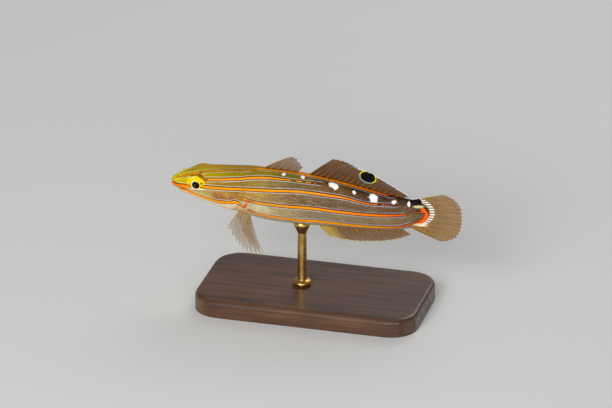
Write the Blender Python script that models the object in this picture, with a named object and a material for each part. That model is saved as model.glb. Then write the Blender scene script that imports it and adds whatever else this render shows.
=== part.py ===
"""A life-size striped goby, 65 mm long, swimming head up on a small display stand.

The fish faces -X with its left side towards -Y. Sizes are in millimetres: s runs from the snout tip back
along the fish, y to its right, z up from the level of its mid-body, and place() turns them into metres on
the stand.
"""

import math

import bmesh
import bpy
import numpy as np
from mathutils import Matrix, Vector

MM = 0.001
GAP = 0.3  # clear space that neighbouring pieces keep

# Overall sizes
TOTAL_LENGTH = 65.0
STANDARD_LENGTH = 53.3  # snout tip to the root of the tail fin
AXIS_HEIGHT = 25.0  # level of mid-body above the surface that the stand rests on
TAIL_SWING = 1.4  # how far the tail fin's tip is carried to the fish's right
SWING_START = 28.0

# Outline of the body at stations behind the snout tip
BACK_LINE = ((0, 0.95), (0.9, 2.03), (2.0, 2.68), (4.3, 3.82), (7.6, 4.76), (13, 5.36),
             (20.5, 5.82), (29, 5.55), (38, 4.5), (45, 3.2), (51.5, 2.05), (53.3, 1.75))
BELLY_LINE = ((0, 0.95), (0.9, -0.4), (2.0, -1.28), (4.3, -2.15), (7.6, -3.1), (13, -4.35), (17, -5.08),
              (20.5, -5.82), (25, -6.16), (29, -6.22), (38, -6.0), (45, -5.92), (51.5, -5.42), (53.3, -5.05))
HALF_WIDTH = ((0, 0), (0.9, 1.55), (2.0, 2.1), (4.3, 2.85), (7.6, 3.45), (13, 3.85),
              (20.5, 3.75), (29, 3.4), (38, 2.7), (45, 2.0), (51.5, 1.2), (53.3, 0.95))
ROUNDNESS = 2.2  # 2 is an ellipse, more is squarer

# Head
EYE = (6.53, 2.35, 1.69)  # s, distance from the middle plane, z
EYE_RADIUS = 1.85
EYE_DEPTH = 1.45
ORBIT_RIM = 0.32
BROW = (6.2, 36.0)  # s and degrees round from the top of the head
BROW_SWELL = 0.5
BROW_REACH = (1.7, 19.0)  # along the head, and in degrees round it
CHEEK = (11.0, -1.3)
CHEEK_SWELL = 0.3
MOUTH_FRONT = (0.6, 0.2)
MOUTH_CORNER = (4.2, 0.05)
JAW_HINGE = (5.5, -2.9)
LIP_RADIUS = 0.33
LIP_RISE = 0.3  # of a lip's middle above or below the line of the mouth
NOSTRIL_TUBE = (2.45, 30.0)  # s, degrees round from the top of the head
NOSTRIL_PIT = (3.5, 33.0)
GILL_REAR = 17.0  # furthest back that the gill cover reaches
GILL_TOP = 14.0
GILL_THROAT = 12.4
GILL_LIFT = 0.2

# Trunk and tail
VENT = 32.3  # where the trunk ends and the tail begins

# Fins
MEMBRANE = 0.5
RAY_THICKNESS = 0.74
TIP_THICKNESS = 0.24
RAY_SHARE = 0.16  # half the width of a ray, as a share of the space between two rays

# Stand
BASE_SIZE = (50.0, 27.0, 4.0)
BASE_CORNER = 6.0
BASE_EDGE = 0.9
ROD_STATION = 29.5
ROD_RADIUS = 1.0
COLLAR_RADIUS = 2.1
COLLAR_HEIGHT = 0.9
CRADLE_RADIUS = 1.9
CRADLE_HEIGHT = 2.2
HOLE_DEPTH = 2.6


def clear_scene():
    for obj in list(bpy.data.objects):
        bpy.data.objects.remove(obj)


def smooth(stations, s):
    """A smooth line through named stations that never overshoots them, round at the snout tip."""
    x = np.sqrt([p[0] for p in stations])
    y = np.array([p[1] for p in stations], float)
    step = np.diff(x)
    slope = np.diff(y) / step
    tangent = np.concatenate([[slope[0]], np.zeros(len(slope) - 1), [slope[-1]]])
    for i in range(1, len(slope)):
        if slope[i - 1] * slope[i] > 0:
            before, after = 2 * step[i] + step[i - 1], step[i] + 2 * step[i - 1]
            tangent[i] = (before + after) / (before / slope[i - 1] + after / slope[i])
    at = math.sqrt(min(max(s, 0.0), stations[-1][0]))
    i = int(min(max(np.searchsorted(x, at) - 1, 0), len(step) - 1))
    t = (at - x[i]) / step[i]
    return float(
        y[i] * (1 + 2 * t) * (1 - t) ** 2
        + tangent[i] * step[i] * t * (1 - t) ** 2
        + y[i + 1] * t * t * (3 - 2 * t)
        + tangent[i + 1] * step[i] * t * t * (t - 1)
    )


def bump(distance, width):
    return math.exp(-((distance / width) ** 2))


def swing(s):
    """How far the fish's middle plane is carried sideways at s."""
    reach = max(0.0, s - SWING_START) / (TOTAL_LENGTH - SWING_START)
    return TAIL_SWING * reach * reach


def place(s, y, z):
    """A point of the fish in metres, on its stand."""
    return Vector((s - TOTAL_LENGTH / 2, y + swing(s), z + AXIS_HEIGHT)) * MM


def section(s):
    """Middle height, half height and half width of the body at s."""
    top, bottom = smooth(BACK_LINE, s), smooth(BELLY_LINE, s)
    return (top + bottom) / 2, (top - bottom) / 2, smooth(HALF_WIDTH, s)


def rounded(angle):
    """Sine and cosine of an angle, pushed out from a circle towards a rounded square."""
    sine, cosine = math.sin(angle), math.cos(angle)
    power = 2 / ROUNDNESS
    return math.copysign(abs(sine) ** power, sine), math.copysign(abs(cosine) ** power, cosine)


def flank(s, angle, out=0.0):
    """A point on the body: angle 0 is the middle of the back, and 90 degrees the left side, at -y."""
    middle, half_height, half_width = section(s)
    across, up = rounded(angle)
    y = -(half_width + out) * across
    z = middle + (half_height + out) * up
    if s < GILL_REAR + 1:
        swell = CHEEK_SWELL * bump(s - CHEEK[0], 3.6) * bump(z - CHEEK[1], 2.2) * abs(across)
        from_eye = math.hypot(s - EYE[0], z - EYE[2])
        swell += ORBIT_RIM * bump(from_eye - EYE_RADIUS, 0.55) * (abs(y) > 1.2)
        turn = 180 - abs(math.degrees(angle) % 360 - 180)
        brow = BROW_SWELL * bump(s - BROW[0], BROW_REACH[0]) * bump(turn - BROW[1], BROW_REACH[1])
        y -= math.copysign(swell + 0.5 * brow, across) if across else 0
        z += 0.35 * swell * up + brow
    return y, z


def side_y(s, z):
    """Distance of the skin from the middle plane at a height on the flank."""
    middle, half_height, half_width = section(s)
    share = min(1.0, abs(z - middle) / half_height)
    return half_width * (1 - share**ROUNDNESS) ** (1 / ROUNDNESS)


def gill_edge(angle):
    """Where the gill cover's edge crosses a line along the body, from nape to throat."""
    low = (1 - math.cos(angle)) / 2
    start = GILL_TOP + (GILL_THROAT - GILL_TOP) * low
    swell = GILL_REAR - (GILL_TOP + GILL_THROAT) / 2
    return start + swell * abs(math.sin(angle)) ** 1.6


def material(name, colour, roughness=0.4, metallic=0.0, alpha=1.0):
    made = bpy.data.materials.get(name) or bpy.data.materials.new(name)
    made.use_nodes = True
    shader = made.node_tree.nodes["Principled BSDF"]
    shader.inputs["Base Color"].default_value = (*colour, 1.0)
    shader.inputs["Roughness"].default_value = roughness
    shader.inputs["Metallic"].default_value = metallic
    shader.inputs["Alpha"].default_value = alpha
    made.diffuse_color = (*colour, alpha)
    return made


def make_object(name, points, faces, finish):
    """A closed mesh object with its faces pointing out and its round surfaces smooth."""
    mesh = bpy.data.meshes.new(name)
    mesh.from_pydata([tuple(p) for p in points], [], faces)
    shape = bmesh.new()
    shape.from_mesh(mesh)
    bmesh.ops.recalc_face_normals(shape, faces=shape.faces)
    shape.to_mesh(mesh)
    shape.free()
    mesh.shade_smooth()
    mesh.set_sharp_from_angle(angle=math.radians(40))
    if finish:
        mesh.materials.append(finish)
    obj = bpy.data.objects.new(name, mesh)
    bpy.context.scene.collection.objects.link(obj)
    return obj


def points_and_faces(mesh):
    return [v.co.copy() for v in mesh.vertices], [tuple(p.vertices) for p in mesh.polygons]


def loft(name, rings, finish, tip=None):
    """A solid through closed rings of points, with a fan of faces at each end, or a point at the tip."""
    count = len(rings[0])
    points = [p for ring in rings for p in ring]
    faces = []
    for i in range(len(rings) - 1):
        for j in range(count):
            k = (j + 1) % count
            a, b = i * count, (i + 1) * count
            faces.append((a + j, a + k, b + k, b + j))
    first = tip or sum(rings[0], Vector()) / count
    last = sum(rings[-1], Vector()) / count
    points += [first, last]
    end = (len(rings) - 1) * count
    for j in range(count):
        k = (j + 1) % count
        faces.append((len(points) - 2, j, k))
        faces.append((len(points) - 1, end + k, end + j))
    return make_object(name, points, faces, finish)


def tube(name, path, radii, finish=None, sides=8):
    """A closed tube along a path, with a radius at each point."""
    rings = []
    across = (path[1] - path[0]).orthogonal()
    for i, point in enumerate(path):
        ahead = (path[min(i + 1, len(path) - 1)] - path[max(i - 1, 0)]).normalized()
        across = (across - ahead * across.dot(ahead)).normalized()
        over = ahead.cross(across)
        turn = [2 * math.pi * k / sides for k in range(sides)]
        rings.append([point + radii[i] * (across * math.cos(t) + over * math.sin(t)) for t in turn])
    return loft(name, rings, finish)


def turned(name, profile, finish, sides=32):
    """A solid of revolution about +Z from (radius, height) pairs, in millimetres."""
    turn = [2 * math.pi * k / sides for k in range(sides)]
    rings = [[Vector((r * math.cos(t), r * math.sin(t), h)) * MM for t in turn] for r, h in profile]
    return loft(name, rings, finish)


def prism(name, outline, half_width):
    """A cutter with an outline in s and z, the same all across the fish."""
    count = len(outline)
    points = [place(s, y, z) for y in (-half_width, half_width) for s, z in outline]
    faces = [tuple(range(count)), tuple(reversed(range(count, 2 * count)))]
    faces += [(i, (i + 1) % count, count + (i + 1) % count, count + i) for i in range(count)]
    return make_object(name, points, faces, None)


def keep_largest(obj):
    """Drops every loose scrap of a mesh but its largest closed surface."""
    shape = bmesh.new()
    shape.from_mesh(obj.data)
    left, islands = set(shape.verts), []
    while left:
        island, edge = set(), [left.pop()]
        while edge:
            vertex = edge.pop()
            island.add(vertex)
            near = {e.other_vert(vertex) for e in vertex.link_edges} & left
            left -= near
            edge.extend(near)
        islands.append(island)
    largest = max(islands, key=len)
    bmesh.ops.delete(shape, geom=[v for v in shape.verts if v not in largest], context="VERTS")
    shape.to_mesh(obj.data)
    shape.free()


def boolean(obj, operation, others):
    """Applies one Boolean between a mesh and a collection of closed meshes, which are then removed."""
    group = bpy.data.collections.new(obj.name + "_pieces")
    bpy.context.scene.collection.children.link(group)
    for other in others:
        group.objects.link(other)
    modifier = obj.modifiers.new(operation.lower(), "BOOLEAN")
    modifier.operation = operation
    modifier.operand_type = "COLLECTION"
    modifier.collection = group
    graph = bpy.context.evaluated_depsgraph_get()
    made = bpy.data.meshes.new_from_object(obj.evaluated_get(graph))
    obj.modifiers.clear()
    obj.data = made
    for other in others:
        bpy.data.objects.remove(other)
    bpy.data.collections.remove(group)
    keep_largest(obj)


def ellipsoid(name, centre, radii, finish, segments=24, rings=14):
    shape = bmesh.new()
    bmesh.ops.create_uvsphere(shape, u_segments=segments, v_segments=rings, radius=1.0)
    shape.transform(Matrix.Rotation(math.pi / 2, 4, "X"))
    mesh = bpy.data.meshes.new(name)
    shape.to_mesh(mesh)
    shape.free()
    points = [centre + Vector(v.co[k] * radii[k] * MM for k in range(3)) for v in mesh.vertices]
    faces = [tuple(p.vertices) for p in mesh.polygons]
    return make_object(name, points, faces, finish)


def mouth_height(s):
    """Height of the line of the mouth at s."""
    share = (s - MOUTH_FRONT[0]) / (MOUTH_CORNER[0] - MOUTH_FRONT[0])
    return MOUTH_FRONT[1] + (MOUTH_CORNER[1] - MOUTH_FRONT[1]) * share


def lip(name, rise, finish):
    """A lip from one corner of the mouth round the snout to the other, sunk half into it."""
    front = 1.1 * LIP_RADIUS
    while smooth(BELLY_LINE, front) > mouth_height(front) + rise:
        front += 0.02
    steps = [front + (MOUTH_CORNER[0] - front) * (k / 9) ** 2 for k in range(10)]
    levels = [mouth_height(s) + rise * (1.1 - s / 9) for s in steps]
    left = [(s, -side_y(s, z), z) for s, z in zip(steps, levels)]
    path = [(s, -y, z) for s, y, z in reversed(left[1:])] + left
    radii = [LIP_RADIUS * MM * (1 - 0.55 * (s / MOUTH_CORNER[0]) ** 2) for s, _, _ in path]
    return tube(name, [place(*p) for p in path], radii, finish)


def jaw_outline(inset):
    """Outline of the block that holds the lower jaw, pulled in from the mouth and hinge by inset."""
    front, corner, hinge = MOUTH_FRONT, MOUTH_CORNER, JAW_HINGE
    lip = [(-2.0, front[1] + 0.3 - inset), (front[0], front[1] - inset)]
    rear = [(corner[0] - inset, corner[1] - inset), (hinge[0] - inset, hinge[1])]
    return lip + rear + [(hinge[0] - inset, -8.0), (-2.0, -8.0)]


def head_ring(station, count=44, out=0.0):
    """One ring of the head, which leans with the gill cover's edge the further back it is."""
    ring = []
    for j in range(count):
        angle = 2 * math.pi * j / count
        lean = (gill_edge(angle) - GILL_REAR) * (station / GILL_REAR) ** 3
        s = station + lean
        lift = GILL_LIFT * max(0.0, 1 - (gill_edge(angle) - s) / 2.5) * abs(math.sin(angle))
        y, z = flank(s, angle, out + lift)
        ring.append(place(s, y, z))
    return ring


def nostril_point(spot, side, out=0.0):
    s, degrees = spot
    y, z = flank(s, math.radians(degrees), out)
    return place(s, -side * y, z)


def make_head(skin):
    snout = [0.06, 0.2, 0.42, 0.7, 1.05, 1.45, 1.9, 2.4]
    cheek = [8.6, 9.5, 10.6, 11.8, 13.0, 14.2, 15.3, 16.2, GILL_REAR]
    stations = [*snout, *np.linspace(2.95, 7.9, 10), *cheek]
    whole = loft("head", [head_ring(s) for s in stations], skin, tip=place(0, 0, smooth(BACK_LINE, 0)))
    upper_lip = lip("upper_lip", LIP_RISE, None)
    lower_lip = lip("lower_lip", -LIP_RISE, None)
    tubes = []
    for side in (-1, 1):
        foot, mouth = nostril_point(NOSTRIL_TUBE, side, -0.35), nostril_point(NOSTRIL_TUBE, side, 0.5)
        tubes.append(tube(f"nostril_tube_{side}", [foot, mouth], [0.4 * MM, 0.27 * MM]))
    boolean(whole, "UNION", [upper_lip, lower_lip, *tubes])

    cutters = []
    for side in (-1, 1):
        s, y, z = EYE
        around = EYE_RADIUS + GAP
        socket = ellipsoid(f"socket_{side}", place(s, side * y, z), (around, EYE_DEPTH + GAP, around), None)
        foot, mouth = nostril_point(NOSTRIL_TUBE, side, 0.0), nostril_point(NOSTRIL_TUBE, side, 0.8)
        bore = tube(f"tube_bore_{side}", [foot, mouth], [0.12 * MM, 0.14 * MM])
        foot, mouth = nostril_point(NOSTRIL_PIT, side, -0.4), nostril_point(NOSTRIL_PIT, side, 0.6)
        pit = tube(f"nostril_pit_{side}", [foot, mouth], [0.14 * MM, 0.24 * MM])
        cutters += [socket, bore, pit]
    boolean(whole, "DIFFERENCE", cutters)

    jaw = make_object("lower_jaw", *points_and_faces(whole.data), skin)
    boolean(jaw, "INTERSECT", [prism("jaw_block", jaw_outline(GAP / 2), 6)])
    boolean(whole, "DIFFERENCE", [prism("jaw_space", jaw_outline(-GAP / 2), 6)])


def make_eyes(finish):
    s, y, z = EYE
    for label, side in (("left", -1), ("right", 1)):
        centre = place(s, side * y, z)
        ellipsoid(f"eye_{label}", centre, (EYE_RADIUS, EYE_DEPTH, EYE_RADIUS), finish, 20, 12)


def body_ring(s, count=36, out=0.0):
    return [place(s, *flank(s, 2 * math.pi * j / count, out)) for j in range(count)]


def make_trunk(skin):
    """The trunk, whose front follows the gill cover's edge and whose rear is the cut at the vent."""
    rings = []
    count = 36
    lead = 6.5
    for station in [GILL_REAR + GAP + lead * k / 6 for k in range(6)] + list(np.linspace(24.2, VENT, 7)):
        ring = []
        for j in range(count):
            angle = 2 * math.pi * j / count
            fade = max(0.0, 1 - (station - GILL_REAR - GAP) / lead)
            s = station + (gill_edge(angle) - GILL_REAR) * fade
            ring.append(place(s, *flank(s, angle, -0.1 * fade)))
        rings.append(ring)
    loft("trunk", rings, skin)


def make_tail(skin):
    stations = list(np.linspace(VENT + GAP, STANDARD_LENGTH - 0.8, 12))
    rings = [body_ring(s) for s in [*stations, STANDARD_LENGTH - 0.2]]
    loft("tail", rings + [body_ring(STANDARD_LENGTH, out=-0.2)], skin)


def fin(name, rays, finish, rows=6, notch=0.05, narrow_root=False):
    """A membrane with a ridge along each ray, the same on both faces.

    rays holds (root, bend, tip) in s, y, z for each ray. notch is how far the edge draws in between two rays.
    """
    count = len(rays)
    places = [0.0, RAY_SHARE]
    for i in range(1, count):
        places += [i - 0.5, i - RAY_SHARE, float(i)]
        if i < count - 1:
            places.append(i + RAY_SHARE)
    grid, thick = [], []
    for at in places:
        i = min(int(at), count - 2)
        part = at - i
        from_ray = min(part, 1 - part)
        draw_in = notch * min(1.0, from_ray / 0.5)
        column, depth = [], []
        for r in range(rows):
            u = r / (rows - 1) * (1 - draw_in)
            pair = []
            for root, bend, tip in (rays[i], rays[i + 1]):
                weights = ((1 - u) ** 2, 2 * u * (1 - u), u * u)
                pair.append([sum(w * p[k] for w, p in zip(weights, (root, bend, tip))) for k in range(3)])
            column.append(Vector(a + (b - a) * part for a, b in zip(*pair)))
            ridge = max(0.0, 1 - from_ray / RAY_SHARE)
            if narrow_root:
                ridge *= min(1.0, u / 0.35)
            full = MEMBRANE + (RAY_THICKNESS - MEMBRANE) * ridge
            taper = min(1.0, (1 - r / (rows - 1)) / 0.3)
            depth.append((TIP_THICKNESS + (full - TIP_THICKNESS) * taper) / 2)
        grid.append(column)
        thick.append(depth)
    columns = len(grid)
    points = []
    for side in (1, -1):
        for c in range(columns):
            for r in range(rows):
                along = grid[c][min(r + 1, rows - 1)] - grid[c][max(r - 1, 0)]
                across = grid[min(c + 1, columns - 1)][r] - grid[max(c - 1, 0)][r]
                normal = along.cross(across).normalized()
                points.append(place(*(grid[c][r] + side * thick[c][r] * normal)))
    back = columns * rows
    faces = []
    for c in range(columns - 1):
        for r in range(rows - 1):
            a, b, d, e = c * rows + r, (c + 1) * rows + r, (c + 1) * rows + r + 1, c * rows + r + 1
            faces += [(a, b, d), (a, d, e), (back + a, back + d, back + b), (back + a, back + e, back + d)]
    rim = [c * rows for c in range(columns)] + [(columns - 1) * rows + r for r in range(1, rows)]
    rim += [c * rows + rows - 1 for c in range(columns - 2, -1, -1)] + [r for r in range(rows - 2, 0, -1)]
    for a, b in zip(rim, rim[1:] + rim[:1]):
        faces += [(a, back + b, b), (a, back + a, back + b)]
    return make_object(name, points, faces, finish)


def line_at(stations, s):
    return float(np.interp(s, [p[0] for p in stations], [p[1] for p in stations]))


FIRST_DORSAL = {"base": (20.2, 28.2), "tips": (26.4, 29.7), "rays": 6, "bow": 0.35,
                "edge": ((26.4, 8.9), (27.4, 9.4), (28.4, 8.9), (29.7, 6.9))}
SECOND_DORSAL = {"base": (30.6, 50.9), "tips": (36.5, 53.5), "rays": 17, "bow": 0.25,
                 "edge": ((36.5, 9.7), (38.4, 9.55), (40.3, 8.9), (42.7, 7.9), (45.9, 6.8), (48.1, 5.6),
                          (50.6, 4.1), (53.5, 2.35))}
ANAL = {"base": (32.8, 51.4), "tips": (35.9, 53.9), "rays": 17, "bow": 0.2,
        "edge": ((35.9, -8.8), (39.5, -9.4), (42.5, -9.4), (48.0, -8.8), (51.5, -7.8), (53.9, -6.6))}


def midline_rays(form, surface, up):
    """Rays of a fin on the middle plane, from the body's edge to the fin's own edge."""
    rays = []
    for i in range(form["rays"]):
        share = i / (form["rays"] - 1)
        root_s, tip_s = (form[key][0] + (form[key][1] - form[key][0]) * share for key in ("base", "tips"))
        root_z = smooth(surface, root_s) + up * (GAP + 0.02)
        tip_z = line_at(form["edge"], tip_s)
        middle = ((root_s + tip_s) / 2, 0.0, (root_z + tip_z) / 2 + up * form["bow"])
        rays.append(((root_s, 0.0, root_z), middle, (tip_s, 0.0, tip_z)))
    return rays


def make_midline_fins(clear):
    fin("first_dorsal_fin", midline_rays(FIRST_DORSAL, BACK_LINE, 1), clear, notch=0.1)
    fin("second_dorsal_fin", midline_rays(SECOND_DORSAL, BACK_LINE, 1), clear, notch=0.03)
    fin("anal_fin", midline_rays(ANAL, BELLY_LINE, -1), clear, notch=0.04)


def make_tail_fin(clear):
    """A rounded fan on the end of the tail."""
    count = 17
    top, bottom = smooth(BACK_LINE, STANDARD_LENGTH) - 0.3, smooth(BELLY_LINE, STANDARD_LENGTH) + 0.3
    rays = []
    for i in range(count):
        across = 1 - 2 * i / (count - 1)
        root = (STANDARD_LENGTH + GAP, 0.0, (top + bottom) / 2 + (top - bottom) / 2 * across)
        angle = math.radians(19 * across - 3)
        length = (TOTAL_LENGTH - STANDARD_LENGTH - GAP) * (1 - 0.34 * abs(across) ** 3)
        tip = (root[0] + length * math.cos(angle), 0.0, root[2] + length * math.sin(angle))
        bend = (root[0] + 0.5 * (tip[0] - root[0]), 0.0, root[2] + 0.56 * (tip[2] - root[2]))
        rays.append((root, bend, tip))
    fin("tail_fin", rays, clear, rows=7, notch=0.03)


PECTORAL = {"station": 17.95, "top": -0.1, "bottom": -3.0, "rays": 14, "length": 10.8, "spread": 9.0}


def make_pectoral_fins(clear):
    """Rounded fans laid back along the flanks, standing off the body by their spread."""
    fan = PECTORAL
    for label, side in (("left", -1), ("right", 1)):
        rays = []
        for i in range(fan["rays"]):
            across = 1 - 2 * i / (fan["rays"] - 1)
            root_z = (fan["top"] + fan["bottom"]) / 2 + (fan["top"] - fan["bottom"]) / 2 * across
            root_s = fan["station"] + 0.25 * abs(across)
            root_y = side_y(root_s, root_z) + GAP + MEMBRANE / 2
            angle = math.radians(15 * across + 3)
            length = fan["length"] * (1 - 0.3 * abs(across) ** 2.5)
            out = math.radians(fan["spread"])
            tip = (root_s + length * math.cos(angle) * math.cos(out), root_y + length * math.sin(out),
                   root_z + length * math.sin(angle))
            bend = [r + 0.5 * (t - r) for r, t in zip((root_s, root_y, root_z), tip)]
            bend[1] += 0.25
            rays.append(tuple((s, side * y, z) for s, y, z in ((root_s, root_y, root_z), bend, tip)))
        fin(f"pectoral_fin_{label}", rays, clear, notch=0.04, narrow_root=True)


PELVIC_SPINE_TIP = (13.7, 3.6, -8.0)
PELVIC_LAST_TIP = (20.6, 0.75, -15.2)
PELVIC_ROOT = (15.9, 17.3)


def make_pelvic_fins(clear):
    """The pair under the throat: a short spine in front, then rays that grow longer to the innermost."""
    count = 9
    for label, side in (("left", -1), ("right", 1)):
        rays = []
        for i in range(count):
            share = i / (count - 1)
            root_s = PELVIC_ROOT[0] + (PELVIC_ROOT[1] - PELVIC_ROOT[0]) * share
            root_y = 1.5 - 0.95 * share
            middle, half_height, half_width = section(root_s)
            drop = half_height * (1 - (root_y / half_width) ** ROUNDNESS) ** (1 / ROUNDNESS)
            root_z = middle - drop - GAP - 0.12
            turn = share**0.8
            tip = [a + (b - a) * turn for a, b in zip(PELVIC_SPINE_TIP, PELVIC_LAST_TIP)]
            tip[2] -= 1.3 * math.sin(math.pi * share)
            tip[0] -= 0.9 * math.sin(math.pi * share)
            root = (root_s, root_y, root_z)
            bend = [r + 0.5 * (t - r) for r, t in zip(root, tip)]
            bend[0] -= 0.7
            rays.append(tuple((s, side * y, z) for s, y, z in (root, bend, tip)))
        fin(f"pelvic_fin_{label}", rays, clear, rows=6, notch=0.16, narrow_root=True)


def make_stand(wood, brass):
    length, width, height = (v * MM for v in BASE_SIZE)
    shape = bmesh.new()
    bmesh.ops.create_cube(shape, size=1.0)
    shape.transform(Matrix.Translation((0, 0, height / 2)) @ Matrix.Diagonal((length, width, height, 1)))
    upright = [e for e in shape.edges if abs(e.verts[0].co.z - e.verts[1].co.z) > height / 2]
    bmesh.ops.bevel(shape, geom=upright, offset=BASE_CORNER * MM, segments=6, profile=0.5, affect="EDGES")
    top_edges = [e for e in shape.edges if all(v.co.z > height * 0.99 for v in e.verts)]
    bmesh.ops.bevel(shape, geom=top_edges, offset=BASE_EDGE * MM, segments=3, profile=0.5, affect="EDGES")
    mesh = bpy.data.meshes.new("stand_base")
    shape.to_mesh(mesh)
    shape.free()
    base = make_object("stand_base", *points_and_faces(mesh), wood)
    base.data.set_sharp_from_angle(angle=math.radians(30))

    foot = place(ROD_STATION, 0, -AXIS_HEIGHT)
    top = BASE_SIZE[2]
    hole = turned("rod_hole", ((ROD_RADIUS + GAP, top - HOLE_DEPTH), (ROD_RADIUS + GAP, top + 1)), None)
    hole.data.transform(Matrix.Translation(foot))
    boolean(base, "DIFFERENCE", [hole])

    belly = AXIS_HEIGHT + smooth(BELLY_LINE, ROD_STATION)
    collar = top + GAP
    profile = ((ROD_RADIUS, top - HOLE_DEPTH + GAP), (ROD_RADIUS, collar - 0.02), (COLLAR_RADIUS, collar),
               (COLLAR_RADIUS, collar + COLLAR_HEIGHT * 0.6), (COLLAR_RADIUS - 0.35, collar + COLLAR_HEIGHT),
               (ROD_RADIUS, collar + COLLAR_HEIGHT + 0.1), (ROD_RADIUS, belly - CRADLE_HEIGHT),
               (CRADLE_RADIUS, belly - 0.3), (CRADLE_RADIUS, belly + 0.6))
    rod = turned("stand_rod", profile, brass, sides=28)
    rod.data.transform(Matrix.Translation(foot))
    around = [body_ring(s, 48, GAP) for s in np.linspace(ROD_STATION - 5, ROD_STATION + 5, 6)]
    boolean(rod, "DIFFERENCE", [loft("belly_space", around, None)])


def main():
    clear_scene()
    skin = material("olive skin", (0.42, 0.36, 0.14), 0.38)
    eye = material("eye", (0.75, 0.62, 0.08), 0.15)
    clear = material("fin membrane", (0.62, 0.52, 0.36), 0.35, alpha=0.7)
    wood = material("dark walnut", (0.12, 0.065, 0.035), 0.5)
    brass = material("brass rod", (0.72, 0.53, 0.24), 0.3, metallic=1.0)
    make_head(skin)
    make_eyes(eye)
    make_trunk(skin)
    make_tail(skin)
    make_midline_fins(clear)
    make_tail_fin(clear)
    make_pectoral_fins(clear)
    make_pelvic_fins(clear)
    make_stand(wood, brass)


main()
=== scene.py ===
"""A striped goby on its display stand: skin, eyes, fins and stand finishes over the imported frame.

Lengths of the fish and its stand are in millimetres, those of the studio and the materials in metres. s runs
back from the snout tip, y to the fish's right, z up from the level of its mid-body, and degrees count round the
body from the middle of the back (0) to the belly (180).
"""

import math

import bpy
import numpy as np
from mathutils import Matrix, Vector


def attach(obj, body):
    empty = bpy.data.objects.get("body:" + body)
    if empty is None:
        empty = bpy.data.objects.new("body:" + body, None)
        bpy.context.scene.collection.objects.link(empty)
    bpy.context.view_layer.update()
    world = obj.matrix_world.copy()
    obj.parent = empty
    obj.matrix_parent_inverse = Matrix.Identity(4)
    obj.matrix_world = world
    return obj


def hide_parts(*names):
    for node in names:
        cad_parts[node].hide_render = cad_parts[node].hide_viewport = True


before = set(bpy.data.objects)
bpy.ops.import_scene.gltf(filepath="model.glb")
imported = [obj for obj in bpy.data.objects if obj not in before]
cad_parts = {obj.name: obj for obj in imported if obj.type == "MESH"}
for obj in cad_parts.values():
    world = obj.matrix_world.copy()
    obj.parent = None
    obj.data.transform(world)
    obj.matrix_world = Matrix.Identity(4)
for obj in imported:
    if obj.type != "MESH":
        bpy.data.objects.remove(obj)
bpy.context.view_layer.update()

MM = 0.001
TOTAL_LENGTH = 65.0
STANDARD_LENGTH = 53.3
AXIS_HEIGHT = 25.0
TAIL_SWING = 1.4
SWING_START = 28.0

# Heights of the back and the belly and half widths of the body, each by s
BACK_LINE = ((0, 0.95), (0.9, 2.03), (2.0, 2.68), (4.3, 3.82), (7.6, 4.76), (13, 5.36), (20.5, 5.82),
             (29, 5.55), (38, 4.5), (45, 3.2), (51.5, 2.05), (53.3, 1.8), (54.8, 1.55), (56.2, 0.9),
             (57.2, 0.1), (57.9, -1.3))
BELLY_LINE = ((0, 0.95), (0.9, -0.4), (2.0, -1.28), (4.3, -2.15), (7.6, -3.1), (13, -4.35), (17, -5.08),
              (20.5, -5.82), (25, -6.16), (29, -6.22), (38, -6.0), (45, -5.92), (51.5, -5.42), (53.3, -5.0),
              (55.0, -4.3), (56.4, -3.5), (57.3, -2.6), (57.9, -1.3))
HALF_WIDTH = ((0, 0), (0.9, 1.55), (2.0, 2.1), (4.3, 2.85), (7.6, 3.45), (13, 3.85), (20.5, 3.75), (29, 3.4),
              (38, 2.7), (45, 2.0), (51.5, 1.2), (53.3, 0.95), (55.5, 0.6), (57.2, 0.3), (57.9, 0.12))
ROUNDNESS = 2.2

# The head: places as (s, y, z) or (s, z), nostrils as (s, degrees)
EYE = (6.53, 2.35, 1.69)
EYE_RADIUS = 1.85
EYE_DEPTH = 1.45
LID_OPENING = 1.64
LID_WIDTH, LID_RISE, LID_FOLD = 0.3, 0.13, 0.35
CHEEK = (11.0, -1.3)
MOUTH_FRONT = (0.6, 0.2)
MOUTH_CORNER = (4.2, 0.05)
NOSTRIL_TUBE = (2.45, 30.0)
NOSTRIL_PIT = (3.5, 33.0)
GILL_REAR, GILL_TOP, GILL_THROAT = 17.2, 14.0, 12.4

# Body scales and fin membranes
SCALE_HEIGHT, SCALE_LENGTH = 0.5, 0.66
MEMBRANE_THICKNESS, MEMBRANE_SAG = 0.12, 0.05

# The stand, as in the solids
BASE_HEIGHT = 4.0
ROD_STATION, ROD_RADIUS, ROD_SUNK, ROD_GAP = 29.5, 1.0, 2.6, 0.3
COLLAR_RADIUS, COLLAR_HEIGHT = 2.1, 0.9
CRADLE_RADIUS, CRADLE_HEIGHT = 1.9, 2.2

# The view: degrees ahead of the side and above, mm to a pixel, and its middle aside and up from mid-body
VIEW_AZIMUTH, VIEW_ELEVATION = 15, 24
PHOTO_WIDTH, PIXEL = 612, 0.21725
VIEW_ASIDE, VIEW_UP = -2.064, -1.304

# A distance that stands for not being near a marking
NOWHERE = 9.0

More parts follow.
